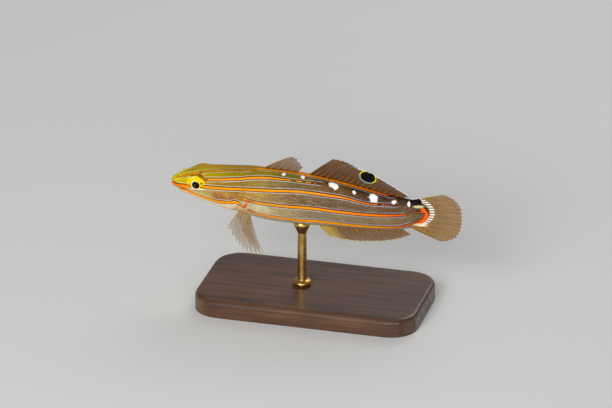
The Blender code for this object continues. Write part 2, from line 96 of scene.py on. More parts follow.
# Orange lines of the flank, each a path of (s, degrees)
LINES = {
    "line_mid": ((3.2, 17), (4.5, 14), (5.6, 11), (7.1, 6), (8.5, 6), (10.3, 4), (12.5, 0), (16.0, 0),
                 (19.6, 0)),
    "line_a": ((18.7, 8.4), (19.5, 8), (24.6, 6), (30.9, 5.5), (36.4, 6), (42.1, 8), (46.8, 11),
               (51.0, 12.5)),
    "line_b": ((1.5, 43), (2.2, 40), (3.4, 42), (4.9, 44), (6.2, 44), (7.4, 39), (8.0, 34), (8.9, 30),
               (10.0, 27), (12.4, 24), (14.2, 22), (15.9, 20.5), (19.4, 19)),
    "line_hood": ((6.7, 47.5), (7.2, 49.5), (7.5, 52), (7.8, 55.5), (8.2, 60.5), (8.5, 64.5)),
    "line_c": ((8.6, 60), (9.2, 59), (11.0, 56.5), (16.3, 49.5), (18.1, 45), (21.8, 39), (27.4, 36.5),
               (31.0, 35.5), (35.0, 31.5)),
    "line_d": ((0.6, 98), (1.5, 96), (2.3, 93), (3.7, 90.5), (5.0, 90), (6.5, 87.5), (9.1, 82.5),
               (13.2, 78.5), (22.1, 70.5), (29.0, 64), (32.5, 63), (39.7, 62), (42.5, 65), (44.9, 66),
               (48.0, 61), (51.5, 54.5)),
    "line_lip": ((2.5, 108), (3.2, 108.2), (3.8, 108.8), (4.3, 111), (4.7, 113)),
    "line_e_front": ((4.3, 112), (4.7, 113.5), (5.2, 115), (5.8, 116.2), (6.7, 117.3), (8.1, 117.8),
                     (9.3, 117.6), (10.5, 117), (11.7, 115.7), (13.3, 113.5), (14.5, 110.8), (15.5, 106),
                     (16.4, 111), (17.2, 117.5), (17.7, 113), (18.1, 104.5)),
    "line_e_rear": ((17.6, 94), (18.4, 96), (20.3, 97.6), (23.3, 97.6), (27.6, 97), (29.9, 96), (33.4, 95.7),
                    (36.5, 96.8), (38.7, 97.2), (43.1, 96), (47.4, 93.8), (49.5, 91.8), (53.4, 88)),
    "line_f": ((18.3, 123), (19.1, 127), (19.9, 130), (21.2, 132), (25.2, 132.7), (29.7, 134), (32.0, 133),
               (34.0, 133), (36.3, 135.5), (38.5, 138), (40.6, 140), (45.0, 141.3), (49.3, 142.5),
               (51.1, 139.8), (54.2, 131)),
    "line_spur": ((54.9, 83), (56.7, 78)),
}
# Orange arc over the tail's root and its lower sweep, as (s, z)
TAIL_LINES = {
    "line_arc": ((56.4, -0.25), (56.85, -0.6), (57.3, -1.2), (57.4, -1.8), (57.0, -2.45)),
    "line_sweep": ((57.3, -2.1), (56.8, -2.75), (55.9, -3.2), (54.9, -3.55), (53.8, -3.85)),
}

# Each line's half width, then where along the whole length it starts and ends to change it, the share of the
# width left there, and how strong its orange, its dark rims and the pale lines beside it are
LINE_STYLES = {
    "line_mid": (0.15, 0.25, 0.3, 0.8, 0.85, 0.35, 0.1),
    "line_a": (0.3, 0.66, 0.8, 0.5, 1.0, 0.7, 0.5),
    "line_b": (0.15, 0.26, 0.3, 0.6, 0.95, 0.6, 0.45),
    "line_hood": (0.09, 0.5, 0.6, 1.0, 0.7, 0.8, 0.0),
    "line_c": (0.22, 0.32, 0.42, 0.6, 1.0, 1.0, 0.75),
    "line_d": (0.24, 0.54, 0.68, 0.5, 1.0, 1.0, 0.8),
    "line_lip": (0.2, 0.5, 0.6, 1.0, 0.9, 0.15, 0.8),
    "line_e_front": (0.3, 0.2, 0.27, 0.8, 1.0, 1.0, 1.0),
    "line_e_rear": (0.26, 0.7, 0.83, 0.6, 1.0, 1.0, 0.8),
    "line_f": (0.36, 0.68, 0.82, 0.6, 1.0, 0.7, 1.3),
    "line_spur": (0.12, 0.5, 0.6, 1.0, 0.6, 1.0, 0.0),
    "line_arc": (0.45, 0.5, 0.6, 1.0, 1.33, 1.0, 0.0),
    "line_sweep": (0.38, 0.868, 0.832, 0.25, 1.33, 1.0, 0.0),
}

# Lines whose orange fades out before their rear end, and over what share of the total length
LINE_FADES = {"line_a": 0.045, "line_c": 0.045, "line_d": 0.08, "line_e_rear": 0.018}

# Edges between the bands of ground colour, from the back down, as (s, degrees)
BAND_EDGES = (
    LINES["line_a"],
    ((2, 62), (8.3, 60), (16, 49), (28, 36), (34, 33), (55, 30)),
    LINES["line_d"],
    ((2.5, 108), (4.7, 113.5), (7.8, 118), (11.7, 116), (15, 108), (20.3, 97.6), (33.4, 96), (45.3, 95),
     (55, 86)),
    ((2, 145), (10, 145), (18.3, 123), (21, 132), (36, 135), (48, 142), (55, 130)),
)

# White blotches along the upper side: s, degrees, half length, half height
BLOTCHES = ((25.7, 19, 0.45, 0.55), (30.0, 20, 0.5, 0.5), (36.5, 27, 0.8, 0.65), (37.4, 32.5, 0.85, 0.7),
            (41.5, 38, 0.42, 0.42), (45.8, 43, 0.95, 1.0), (50.1, 46, 0.52, 0.45), (50.4, 41, 0.4, 0.35),
            (53.4, 44, 0.33, 0.6))

# Breaks in the third line, which ends in dashes: s of each and half its length
DASH_GAPS = ((28.1, 0.6), (30.5, 0.32), (32.4, 0.3), (33.6, 0.4), (34.8, 0.4))

# Ground colours of the flank between its lines, from the back down: (share of the length, red, green, blue)
GROUND = (
    ((0.0, 240, 216, 2), (0.12, 222, 188, 0), (0.22, 168, 148, 0), (0.33, 150, 136, 2), (0.43, 124, 108, 6),
     (0.54, 104, 76, 0), (0.68, 54, 30, 0), (0.85, 48, 30, 0)),
    ((0.0, 240, 216, 2), (0.12, 190, 167, 0), (0.22, 153, 135, 0), (0.33, 150, 136, 2), (0.43, 124, 108, 6),
     (0.54, 104, 76, 0), (0.68, 50, 26, 0), (0.85, 44, 26, 0)),
    ((0.1, 206, 158, 0), (0.18, 150, 108, 0), (0.34, 156, 128, 52), (0.43, 112, 88, 34), (0.54, 122, 80, 22),
     (0.68, 66, 32, 0), (0.85, 62, 36, 4)),
    ((0.06, 204, 168, 80), (0.17, 200, 148, 74), (0.25, 168, 122, 48), (0.32, 192, 156, 74),
     (0.42, 136, 106, 70), (0.54, 114, 88, 62), (0.7, 116, 88, 66), (0.88, 84, 54, 22)),
    ((0.1, 226, 208, 152), (0.29, 255, 250, 214), (0.36, 204, 182, 130), (0.5, 146, 130, 100),
     (0.75, 142, 116, 82), (0.88, 112, 84, 54)),
    ((0.0, 226, 206, 156), (0.3, 206, 184, 140), (0.6, 170, 146, 106), (0.85, 138, 112, 80)),
)


def paint(red, green, blue):
    """A colour named in everyday 0 to 255 values, as the shader wants it."""
    parts = [c / 255 for c in (red, green, blue)]
    return tuple(c / 12.92 if c <= 0.04045 else ((c + 0.055) / 1.055) ** 2.4 for c in parts) + (1.0,)


# Form


def smooth(stations, s):
    """A smooth line through named stations that never overshoots them, round at the snout tip."""
    x = np.sqrt([p[0] for p in stations])
    y = np.array([p[1] for p in stations], float)
    step = np.diff(x)
    slope = np.diff(y) / step
    tangent = np.concatenate([[slope[0]], np.zeros(len(slope) - 1), [slope[-1]]])
    for i in range(1, len(slope)):
        if slope[i - 1] * slope[i] > 0:
            before, after = 2 * step[i] + step[i - 1], step[i] + 2 * step[i - 1]
            tangent[i] = (before + after) / (before / slope[i - 1] + after / slope[i])
    at = np.sqrt(np.clip(s, 0.0, stations[-1][0]))
    i = np.clip(np.searchsorted(x, at) - 1, 0, len(step) - 1)
    t = (at - x[i]) / step[i]
    return (y[i] * (1 + 2 * t) * (1 - t) ** 2 + tangent[i] * step[i] * t * (1 - t) ** 2
            + y[i + 1] * t * t * (3 - 2 * t) + tangent[i + 1] * step[i] * t * t * (t - 1))


def bump(distance, width):
    return np.exp(-((distance / width) ** 2))


def ease(value, low, high):
    t = np.clip((value - low) / (high - low), 0, 1)
    return t * t * (3 - 2 * t)


def place(points):
    """Points of the fish (s, y, z) in metres, on its stand."""
    points = np.asarray(points, float)
    reach = np.maximum(0, points[..., 0] - SWING_START) / (TOTAL_LENGTH - SWING_START)
    ahead = points[..., 0] - TOTAL_LENGTH / 2
    return np.stack([ahead, points[..., 1] + TAIL_SWING * reach**2, points[..., 2] + AXIS_HEIGHT], -1) * MM


def height_at(line, s):
    """The height of the back or the belly at one station."""
    return float(smooth(line, np.array(s)))


def line_at(stations, s):
    return np.interp(s, [p[0] for p in stations], [p[1] for p in stations])


def section(s):
    top, bottom = smooth(BACK_LINE, s), smooth(BELLY_LINE, s)
    return (top + bottom) / 2, (top - bottom) / 2, smooth(HALF_WIDTH, s)


def flank(s, angle):
    """The plain body at s and an angle round from the back; the left side, at -y, comes first."""
    middle, half_height, half_width = section(s)
    power = 2 / ROUNDNESS
    sine, cosine = np.sin(angle), np.cos(angle)
    y = -half_width * np.sign(sine) * np.abs(sine) ** power
    z = middle + half_height * np.sign(cosine) * np.abs(cosine) ** power
    return y, z


def gill_edge(angle):
    """Where the gill cover ends, as s at an angle round the body."""
    low = (1 - np.cos(angle)) / 2
    start = GILL_TOP + (GILL_THROAT - GILL_TOP) * low
    return start + (GILL_REAR - (GILL_TOP + GILL_THROAT) / 2) * np.abs(np.sin(angle)) ** 1.6


# How far round the body each angle is, in mm from the middle of the back, looked up by s and angle
GIRTH_S = np.concatenate([np.linspace(0.0, 1.0, 30) ** 2, np.linspace(1.1, 57.9, 570)])
GIRTH_ANGLE = np.radians(np.arange(0, 181))


def make_girth_table():
    s, angle = np.meshgrid(GIRTH_S, GIRTH_ANGLE, indexing="ij")
    y, z = flank(s, angle)
    steps = np.hypot(np.diff(y, axis=1), np.diff(z, axis=1))
    return np.concatenate([np.zeros((len(GIRTH_S), 1)), np.cumsum(steps, axis=1)], axis=1)


GIRTH = make_girth_table()


def degrees_round(angle):
    """Degrees round from the middle of the back, the same on both sides."""
    return np.degrees(np.abs(np.arctan2(np.sin(angle), np.cos(angle))))


def girth(s, angle):
    s, angle = np.broadcast_arrays(np.asarray(s, float), np.asarray(angle, float))
    turn = degrees_round(angle)
    row = np.interp(s, GIRTH_S, np.arange(len(GIRTH_S)))
    i = np.clip(row.astype(int), 0, len(GIRTH_S) - 2)
    j = np.clip(turn.astype(int), 0, 179)
    u, v = row - i, turn - j
    return ((GIRTH[i, j] * (1 - v) + GIRTH[i, j + 1] * v) * (1 - u)
            + (GIRTH[i + 1, j] * (1 - v) + GIRTH[i + 1, j + 1] * v) * u)


def rounded_path(points, steps=8):
    """A smooth path through a few points."""
    p = np.array(points, float)
    p = np.vstack([2 * p[0] - p[1], p, 2 * p[-1] - p[-2]])
    made = []
    for a, b, c, d in zip(p, p[1:], p[2:], p[3:]):
        square, cube = 2 * a - 5 * b + 4 * c - d, 3 * b - a - 3 * c + d
        for t in np.linspace(0, 1, steps, endpoint=False):
            made.append(0.5 * (2 * b + (c - a) * t + square * t * t + cube * t**3))
    made.append(p[-2])
    return np.array(made)


def path_distance(x, y, path):
    """Distance to a path in a plane, positive on the side where y is smaller."""
    best = np.full(x.shape, 1e9)
    signed = np.full(x.shape, 1e9)
    for (ax, ay), (bx, by) in zip(path, path[1:]):
        dx, dy = bx - ax, by - ay
        length = math.hypot(dx, dy)
        along = np.clip(((x - ax) * dx + (y - ay) * dy) / length**2, 0, 1)
        away = np.hypot(x - ax - along * dx, y - ay - along * dy)
        side = np.where(dx * (y - ay) - dy * (x - ax) > 0, -1.0, 1.0)
        nearer = away < best
        best = np.where(nearer, away, best)
        signed = np.where(nearer, away * side, signed)
    return signed


def degrees_at(s, z):
    """Degrees round the body at a height on its flank."""
    middle, half_height, _ = section(s)
    share = np.clip((z - middle) / half_height, -1, 1)
    return np.degrees(np.arccos(np.sign(share) * np.abs(share) ** (ROUNDNESS / 2)))


# Skin


def skin_stations():
    snout = 1.6 * np.linspace(0.03, 1, 46) ** 2
    head = np.arange(1.6, 12, 0.11)[1:]
    trunk = np.linspace(12, 54, 262)
    end = 54 + 3.88 * np.sin(np.linspace(0, math.pi / 2, 28))[1:]
    return np.concatenate([snout, head, trunk, end])


def grid_normals(points):
    along = np.gradient(points, axis=0)
    around = np.roll(points, -1, axis=1) - np.roll(points, 1, axis=1)
    normal = np.cross(around, along)
    return normal / np.maximum(np.linalg.norm(normal, axis=-1, keepdims=True), 1e-9)


def mouth_line(s, z):
    """Signed distance from the line of the mouth, and how far behind its corner."""
    slope = (MOUTH_CORNER[1] - MOUTH_FRONT[1]) / (MOUTH_CORNER[0] - MOUTH_FRONT[0])
    above = z - MOUTH_FRONT[1] - slope * (s - MOUTH_FRONT[0])
    return above, np.maximum(0, s - MOUTH_CORNER[0])


def scale_relief(s, around):
    """Height of overlapping scales with round free edges that point back."""
    row = around / SCALE_HEIGHT
    index = np.floor(row)
    across = row - index - 0.5
    along = s / SCALE_LENGTH + 0.5 * np.mod(index, 2) + 0.9 * across**2
    step = along - np.floor(along)
    return step * (1 - 1.6 * across**2) * ease(1 - step, 0.0, 0.12)


def eye_shape(points):
    """Opens the skin round each eye and rolls its rim over the eyeball."""
    s, y, z = points[..., 0], points[..., 1], points[..., 2]
    reach = np.hypot(s - EYE[0], z - EYE[2])
    near = (reach < 3.0) & (np.abs(y) > 1.2)
    snap = near & (np.abs(reach - LID_OPENING) < 0.075)
    pull = np.where(snap, LID_OPENING / np.maximum(reach, 0.1), 1.0)
    s = np.where(snap, EYE[0] + (s - EYE[0]) * pull, s)
    z = np.where(snap, EYE[2] + (z - EYE[2]) * pull, z)
    reach = np.hypot(s - EYE[0], z - EYE[2])
    grown, deep = EYE_RADIUS + LID_WIDTH, EYE_DEPTH + LID_RISE
    over_lid = EYE[1] + deep * np.sqrt(np.clip(1 - (reach / grown) ** 2, 0, 1))
    ball = EYE[1] + EYE_DEPTH * np.sqrt(np.clip(1 - (reach / EYE_RADIUS) ** 2, 0, 1))
    wide = np.abs(y)
    lid = np.where(reach < grown, np.maximum(wide, over_lid), wide)
    made = np.where(reach < LID_OPENING - 0.02, ball - LID_FOLD, lid)
    y = np.where(near & (reach < 2.6), np.sign(y) * made, y)
    return np.stack([s, y, z], -1)


def make_skin():
    stations = skin_stations()
    count = 196
    angles = 2 * math.pi * np.arange(count) / count
    s, angle = np.meshgrid(stations, angles, indexing="ij")
    y, z = flank(s, angle)
    points = np.stack([s, y, z], -1)
    around = girth(s, angle)
    side = np.abs(np.sin(angle))
    normals = grid_normals(points)

    above, behind = mouth_line(s, z)
    from_mouth = np.hypot(above, behind)
    facing = ease(s, 0.15, 0.6)
    lips = 0.2 * bump(np.abs(above) - 0.3, 0.2) * ease(s, 0.02, 0.5) * (1 - ease(s, 3.4, 4.6))
    crease = 0.34 * bump(from_mouth, 0.085) * facing
    fold = 0.1 * bump(above - 0.72, 0.12) * (1 - ease(s, 3.8, 4.8)) * facing
    past_gill = s - gill_edge(angle)
    turn = degrees_round(angle)
    on_side = ease(turn, 38, 60)
    cover = 0.13 * ease(past_gill, -2.4, -0.05) * (past_gill < 0) * on_side
    slit = 0.07 * bump(past_gill - 0.12, 0.16) * (past_gill >= 0) * on_side
    from_fore_edge = s - 11.2 - 0.9 * bump(z + 2.2, 2.0) + 0.12 * z
    fore_cover = 0.09 * bump(from_fore_edge, 0.3) * ease(-z, -1.6, -0.2) * ease(z, -4.2, -3.2)
    cheek = 0.3 * bump(s - CHEEK[0], 3.6) * bump(z - CHEEK[1], 2.2) * side
    brow = 0.5 * bump(s - 6.2, 1.7) * bump(turn - 36, 19)
    arm = 0.34 * bump(s - 17.95, 0.75) * bump(z + 1.55, 1.35) * side
    throat = 0.08 * np.cos((s - 3.0) * 2.4 + 1.5 * side) * bump(s - 9.0, 3.2) * ease(-z, 1.8, 3.0)
    pit_around = girth(NOSTRIL_PIT[0], math.radians(NOSTRIL_PIT[1]))
    pits = bump(np.hypot(s - NOSTRIL_PIT[0], around - pit_around), 0.17)
    scale = scale_relief(s, around)
    scales = 0.045 * scale * ease(s, 13.5, 18.0) * (1 - 0.6 * ease(s, 52, 57))
    waves = s / 1.55 + 1.68 * np.abs(around / 7.5 - 1.0)
    muscle = 0.0175 * np.sin(2 * math.pi * waves) * ease(s, 19, 23) * (1 - ease(s, 50, 55))
    out = lips - crease - fold + cover - slit + fore_cover + cheek + arm - throat
    out = out - 0.4 * pits + scales + muscle
    points = points + normals * (out * (s < 57.4))[..., None]
    points = points + np.stack([0 * s, 0.5 * brow * np.sign(y), brow], -1)
    points = eye_shape(points)

    fields = skin_fields(s, turn, around)
    slit_shade = 0.12 * bump(past_gill - 0.15, 0.2) * on_side * (past_gill > -0.1)
    fields["shade"] = np.clip(bump(from_mouth, 0.12) * facing + slit_shade + pits, 0, 1)
    fields["scale"] = scale
    from_eye = np.hypot(points[..., 0] - EYE[0], points[..., 2] - EYE[2])
    fields["lid"] = from_eye + np.where(np.abs(points[..., 1]) > 1.0, 0, NOWHERE)

    rings, ring_size = s.shape
    index = np.arange(rings * ring_size).reshape(rings, ring_size)
    a, b = index[:-1], index[1:]
    quads = np.stack([a, b, np.roll(b, -1, 1), np.roll(a, -1, 1)], -1).reshape(-1, 4)
    tip = np.array([[0.0, 0.0, BACK_LINE[0][1]]])
    flat = points.reshape(-1, 3)
    verts = np.vstack([flat, tip])
    faces = [tuple(q) for q in quads.tolist()]
    first = index[0].tolist()
    faces += [(rings * ring_size, j, k) for j, k in zip(first, first[1:] + first[:1])]
    last = index[-1].tolist()
    half = ring_size // 2
    for j in range(1, half - 1):
        faces.append((last[j], last[ring_size - j], last[ring_size - j - 1], last[j + 1]))
    faces.append((last[0], last[ring_size - 1], last[1]))
    faces.append((last[half], last[half - 1], last[half + 1]))
    fields = {name: np.append(values.reshape(-1), values.reshape(-1)[0]) for name, values in fields.items()}
    verts, faces, fields = add_nostril_tubes(verts, faces, fields)
    return mesh_piece("goby_skin", verts, faces, fields)


def line_fields(s, around):
    """Distance beyond the edge of the nearest line, its breaks, and how strong each of its parts is there."""
    run = s / TOTAL_LENGTH
    dashes = np.min([np.abs(s - middle) / half for middle, half in DASH_GAPS], axis=0)
    broken = {"line_a": 0.6 * ease(run, 0.7, 0.8), "line_b": 0.15, "line_d": 0.8 * ease(run, 0.68, 0.78)}
    made = {"edge": np.full(s.shape, NOWHERE)}
    for name, (half, change, changed, left, orange, rim, beside) in LINE_STYLES.items():
        stops = (LINES | TAIL_LINES)[name]
        places = [stop[0] / TOTAL_LENGTH for stop in stops]
        first, last = min(places), max(places)
        path = rounded_path(stops)
        turn = degrees_at(path[:, 0], path[:, 1]) if name in TAIL_LINES else path[:, 1]
        laid = np.stack([path[:, 0], girth(path[:, 0], np.radians(turn))], -1)
        away = path_distance(s, around, laid)
        upper = away > 0
        width = half * (1 - (1 - left) * ease(run, change, changed)) * (0.6 + 0.4 * ease(run, 0.015, 0.06))
        if name in ("line_a", "line_lip"):
            width = width * (0.35 + 0.65 * ease(run, first - 0.004, first + 0.02))
        if name in LINE_FADES:
            orange = orange * ease(run, last, last - LINE_FADES[name])
        if name == "line_d":
            rim = rim * np.where(upper, 1.0, ease(run, 0.07, 0.1))
        if name == "line_e_front":
            rim = rim * (0.3 + 0.7 * ease(run, 0.1, 0.16))
        shown = ease(run, first - 0.004, first + 0.004) * ease(run, last + 0.002, last - 0.02)
        parts = {"edge": np.abs(away) - width, "orange": orange, "rim": rim * shown,
                 "rim_width": 0.16 + 0.05 * upper, "beside": beside * shown * (1 - 0.25 * upper),
                 "broken": broken.get(name, 0.0),
                 "gap": 0.45 * ease(dashes, 1.08, 0.92) * (name == "line_c")}
        nearer = parts["edge"] < made["edge"]
        made = {key: np.where(nearer, value, made.get(key, 0.0)) for key, value in parts.items()}
    return made


def skin_fields(s, turn, around):
    """What the skin's paint follows: place on the body and distance to each marking."""
    knots = [np.zeros_like(s)] + [line_at(stations, s) for stations in BAND_EDGES] + [np.full_like(s, 180.0)]
    band = sum(np.clip((turn - a) / (b - a), 0, 1) for a, b in zip(knots, knots[1:]))
    blotch = np.full(s.shape, -NOWHERE)
    for spot_s, degrees, half_length, half_height in BLOTCHES:
        at = girth(spot_s, math.radians(degrees))
        blotch = np.maximum(blotch, 1 - np.hypot((s - spot_s) / half_length, (around - at) / half_height))
    return {"run": s, "around": around, "band": band, "blotch": blotch} | line_fields(s, around)


def ring_faces(rings, sides, start=0):
    """Faces between rings of points that follow each other from start."""
    faces = []
    for row in range(start, start + (rings - 1) * sides, sides):
        for k in range(sides):
            a, b = row + k, row + (k + 1) % sides
            faces.append((a, b, b + sides, a + sides))
    return faces


def add_nostril_tubes(verts, faces, fields):
    """A short flaring tube with an open end at each front nostril, grown on the skin."""
    sides = 20
    # Radius, height and painted shade of each ring, up the outside and down into the tube
    profile = ((0.4, -0.25, 0.0), (0.27, 0.05, 0.0), (0.2, 0.25, 0.0), (0.19, 0.42, 0.0), (0.16, 0.49, 0.0),
               (0.11, 0.45, 0.5), (0.08, 0.3, 1.0), (0.06, 0.1, 1.0))
    s, turn = NOSTRIL_TUBE
    fills = {"run": s, "around": 1.3, "band": 1.6, "blotch": -NOWHERE, "edge": NOWHERE, "lid": NOWHERE}
    for side in (1, -1):
        y, z = flank(np.array(s), np.array(math.radians(turn) * side))
        foot = Vector((s, float(y), float(z)))
        up = Vector((-0.42, -0.25 * side, 0.86)).normalized()
        across = up.orthogonal().normalized()
        over = up.cross(across)
        start = len(verts)
        points = []
        for radius, height, _ in profile:
            for t in 2 * math.pi * np.arange(sides) / sides:
                points.append(foot + up * height + radius * (across * math.cos(t) + over * math.sin(t)))
        verts = np.vstack([verts, np.array(points)])
        faces += ring_faces(len(profile), sides, start)
        faces.append(tuple(range(len(verts) - sides, len(verts))))
        faces.append(tuple(reversed(range(start, start + sides))))
        shade = np.repeat([dark for _, _, dark in profile], sides)
        for name, values in fields.items():
            extra = shade if name == "shade" else np.full(len(points), fills.get(name, 0.0))
            fields[name] = np.concatenate([values, extra])
    return verts, faces, fields


def add_object(name, data):
    made = bpy.data.objects.new(name, data)
    bpy.context.scene.collection.objects.link(made)
    return made


def add_fields(mesh, fields):
    """Values on a mesh's points, for its material."""
    for key, values in fields.items():
        layer = mesh.attributes.new(key, "FLOAT", "POINT")
        layer.data.foreach_set("value", np.ascontiguousarray(values, dtype=np.float32))


def mesh_piece(name, points, faces, fields=None, vectors=None, material=None):
    """A smooth mesh object in place on the stand, with its paint fields as point attributes."""
    mesh = bpy.data.meshes.new(name)
    mesh.from_pydata(place(points).tolist(), [], faces)
    add_fields(mesh, fields or {})
    for key, values in (vectors or {}).items():
        layer = mesh.attributes.new(key, "FLOAT_VECTOR", "POINT")
        layer.data.foreach_set("vector", np.ascontiguousarray(values, dtype=np.float32).reshape(-1))
    mesh.shade_smooth()
    if material:
        mesh.materials.append(material)
    return add_object(name, mesh)


# Nodes


def join(tree, socket, value):
    """Feeds a socket: (value, low, high) is eased from low to high, and a colour is (red, green, blue)."""
    if isinstance(value, tuple) and isinstance(value[0], bpy.types.NodeSocket):
        value = ranged(tree, *value)
    if isinstance(value, bpy.types.NodeSocket):
        tree.links.new(value, socket)
    else:
        socket.default_value = paint(*value) if socket.type == "RGBA" else value


def calc(tree, operation, *values):
    node = tree.nodes.new("ShaderNodeMath")
    node.operation = operation
    for socket, value in zip(node.inputs, values):
        join(tree, socket, value)
    return node.outputs[0]


def ranged(tree, value, low, high, start=0.0, end=1.0):
    node = tree.nodes.new("ShaderNodeMapRange")
    node.interpolation_type = "SMOOTHSTEP"
    for socket, given in zip(node.inputs, (value, low, high, start, end)):
        join(tree, socket, given)
    return node.outputs[0]


def mixed(tree, factor, first, second, blend="MIX"):
    node = tree.nodes.new("ShaderNodeMix")
    node.data_type = "RGBA"
    node.blend_type = blend
    join(tree, node.inputs[0], factor)
    join(tree, node.inputs[6], first)
    join(tree, node.inputs[7], second)
    return node.outputs[2]


def ramp(tree, factor, stops):
    """Colours along a value, each stop its place, red, green and blue."""
    node = tree.nodes.new("ShaderNodeValToRGB")
    elements = node.color_ramp.elements
    for stop in stops[2:]:
        elements.new(stop[0])
    for element, (position, *colour) in zip(elements, stops):
        element.position = position
        element.color = paint(*colour)
    join(tree, node.inputs[0], factor)
    return node.outputs[0]


def times(tree, first, *others):
    for other in others:
        first = calc(tree, "MULTIPLY", first, other)
    return first


def apart(tree, value, centre):
    return calc(tree, "ABSOLUTE", calc(tree, "SUBTRACT", value, centre))


def window(tree, value, rise, full, hold, fall):
    """1 between full and hold, easing to 0 at rise and at fall."""
    return times(tree, (value, rise, full), (value, fall, hold))


def noise(tree, vector, scale, detail=3.0, roughness=0.5):
    node = tree.nodes.new("ShaderNodeTexNoise")
    join(tree, node.inputs["Vector"], vector)
    node.inputs["Scale"].default_value = scale
    node.inputs["Detail"].default_value = detail
    node.inputs["Roughness"].default_value = roughness
    return node.outputs[0]


def field(tree, name):
    node = tree.nodes.new("ShaderNodeAttribute")
    node.attribute_name = name
    return node.outputs["Fac"]


def object_place(tree):
    return tree.nodes.new("ShaderNodeTexCoord").outputs["Object"]


def relief(tree, height, strength, distance):
    node = tree.nodes.new("ShaderNodeBump")
    node.inputs["Strength"].default_value = strength
    node.inputs["Distance"].default_value = distance
    join(tree, node.inputs["Height"], height)
    return node.outputs[0]


def length_of(tree, vector):
    node = tree.nodes.new("ShaderNodeVectorMath")
    node.operation = "LENGTH"
    join(tree, node.inputs[0], vector)
    return node.outputs["Value"]


def parts_of(tree, vector):
    node = tree.nodes.new("ShaderNodeSeparateXYZ")
    join(tree, node.inputs[0], vector)
    return node.outputs


def mapped(tree, vector, kind="POINT", **settings):
    """A vector moved, turned and scaled; kind TEXTURE does so to the pattern instead."""
    node = tree.nodes.new("ShaderNodeMapping")
    node.vector_type = kind
    for label, value in settings.items():
        node.inputs[label].default_value = value
    join(tree, node.inputs["Vector"], vector)
    return node.outputs[0]


def oval(tree, position, centre, radii, tilt=0.0):
    """Places measured from the centre (s, z) of an oval on the middle plane, in its radii."""
    return mapped(tree, position, "TEXTURE", Location=place([centre[0], 0.0, centre[1]]),
                  Rotation=(0.0, math.radians(tilt), 0.0), Scale=(radii[0] * MM, 1.0, radii[1] * MM))


def stretched(tree, *scale):
    return mapped(tree, object_place(tree), Scale=scale)


def new_group(name, inputs, outputs):
    """A node group with named sockets; returns its tree and its inputs by name."""
    group = bpy.data.node_groups.new(name, "ShaderNodeTree")
    for label, kind, value in inputs:
        socket = group.interface.new_socket(label, in_out="INPUT", socket_type=kind)
        if value is not None:
            socket.default_value = value
    for label, kind in outputs:
        group.interface.new_socket(label, in_out="OUTPUT", socket_type=kind)
    source = group.nodes.new("NodeGroupInput")
    target = group.nodes.new("NodeGroupOutput")
    return group, source.outputs, target.inputs


def use_group(tree, group, **values):
    node = tree.nodes.new("ShaderNodeGroup")
    node.node_tree = group
    for label, value in values.items():
        join(tree, node.inputs[label.replace("_", " ")], value)
    return node.outputs


def new_material(name, roughness=0.4, **constants):
    made = bpy.data.materials.new(name)
    made.use_nodes = True
    shader = made.node_tree.nodes["Principled BSDF"]
    shader.inputs["Roughness"].default_value = roughness
    for label, value in constants.items():
        shader.inputs[label.replace("_", " ")].default_value = value
    return made, made.node_tree, shader


FLOAT, COLOUR, VECTOR = "NodeSocketFloat", "NodeSocketColor", "NodeSocketVector"


def make_tail_spot_group():
    """Marks that cross from the skin to the tail fin: black and cream spots and the ring of white ticks."""
    group, given, result = new_group(
        "tail marks", (("Position", VECTOR, None),),
        (("Black", FLOAT), ("Ring", FLOAT), ("Cream", FLOAT), ("Lower Cream", FLOAT)))
    where = given["Position"]
    wobble = calc(group, "MULTIPLY", calc(group, "SUBTRACT", noise(group, where, 900), 0.5), 0.5)
    for label, centre, radii, inner, outer in (("Black", (54.8, 1.45), (1.25, 0.8), 0.9, 1.1),
                                               ("Cream", (55.5, 0.42), (1.2, 0.32), 0.6, 1.2),
                                               ("Lower Cream", (56.0, -3.95), (1.6, 0.46), 0.6, 1.2)):
        reach = calc(group, "ADD", length_of(group, oval(group, where, centre, radii)), wobble)
        join(group, result[label], (reach, outer, inner))
    ring = length_of(group, oval(group, where, (54.45, -1.0), (4.5, 3.4)))
    join(group, result["Ring"], (apart(group, ring, 0.88), 0.135, 0.1))
    return group


def flowing(tree, along, around):
    """A vector that stretches a pattern along the body."""
    flow = tree.nodes.new("ShaderNodeCombineXYZ")
    join(tree, flow.inputs[0], times(tree, field(tree, "run"), along))
    join(tree, flow.inputs[1], times(tree, field(tree, "around"), around))
    return flow.outputs[0]


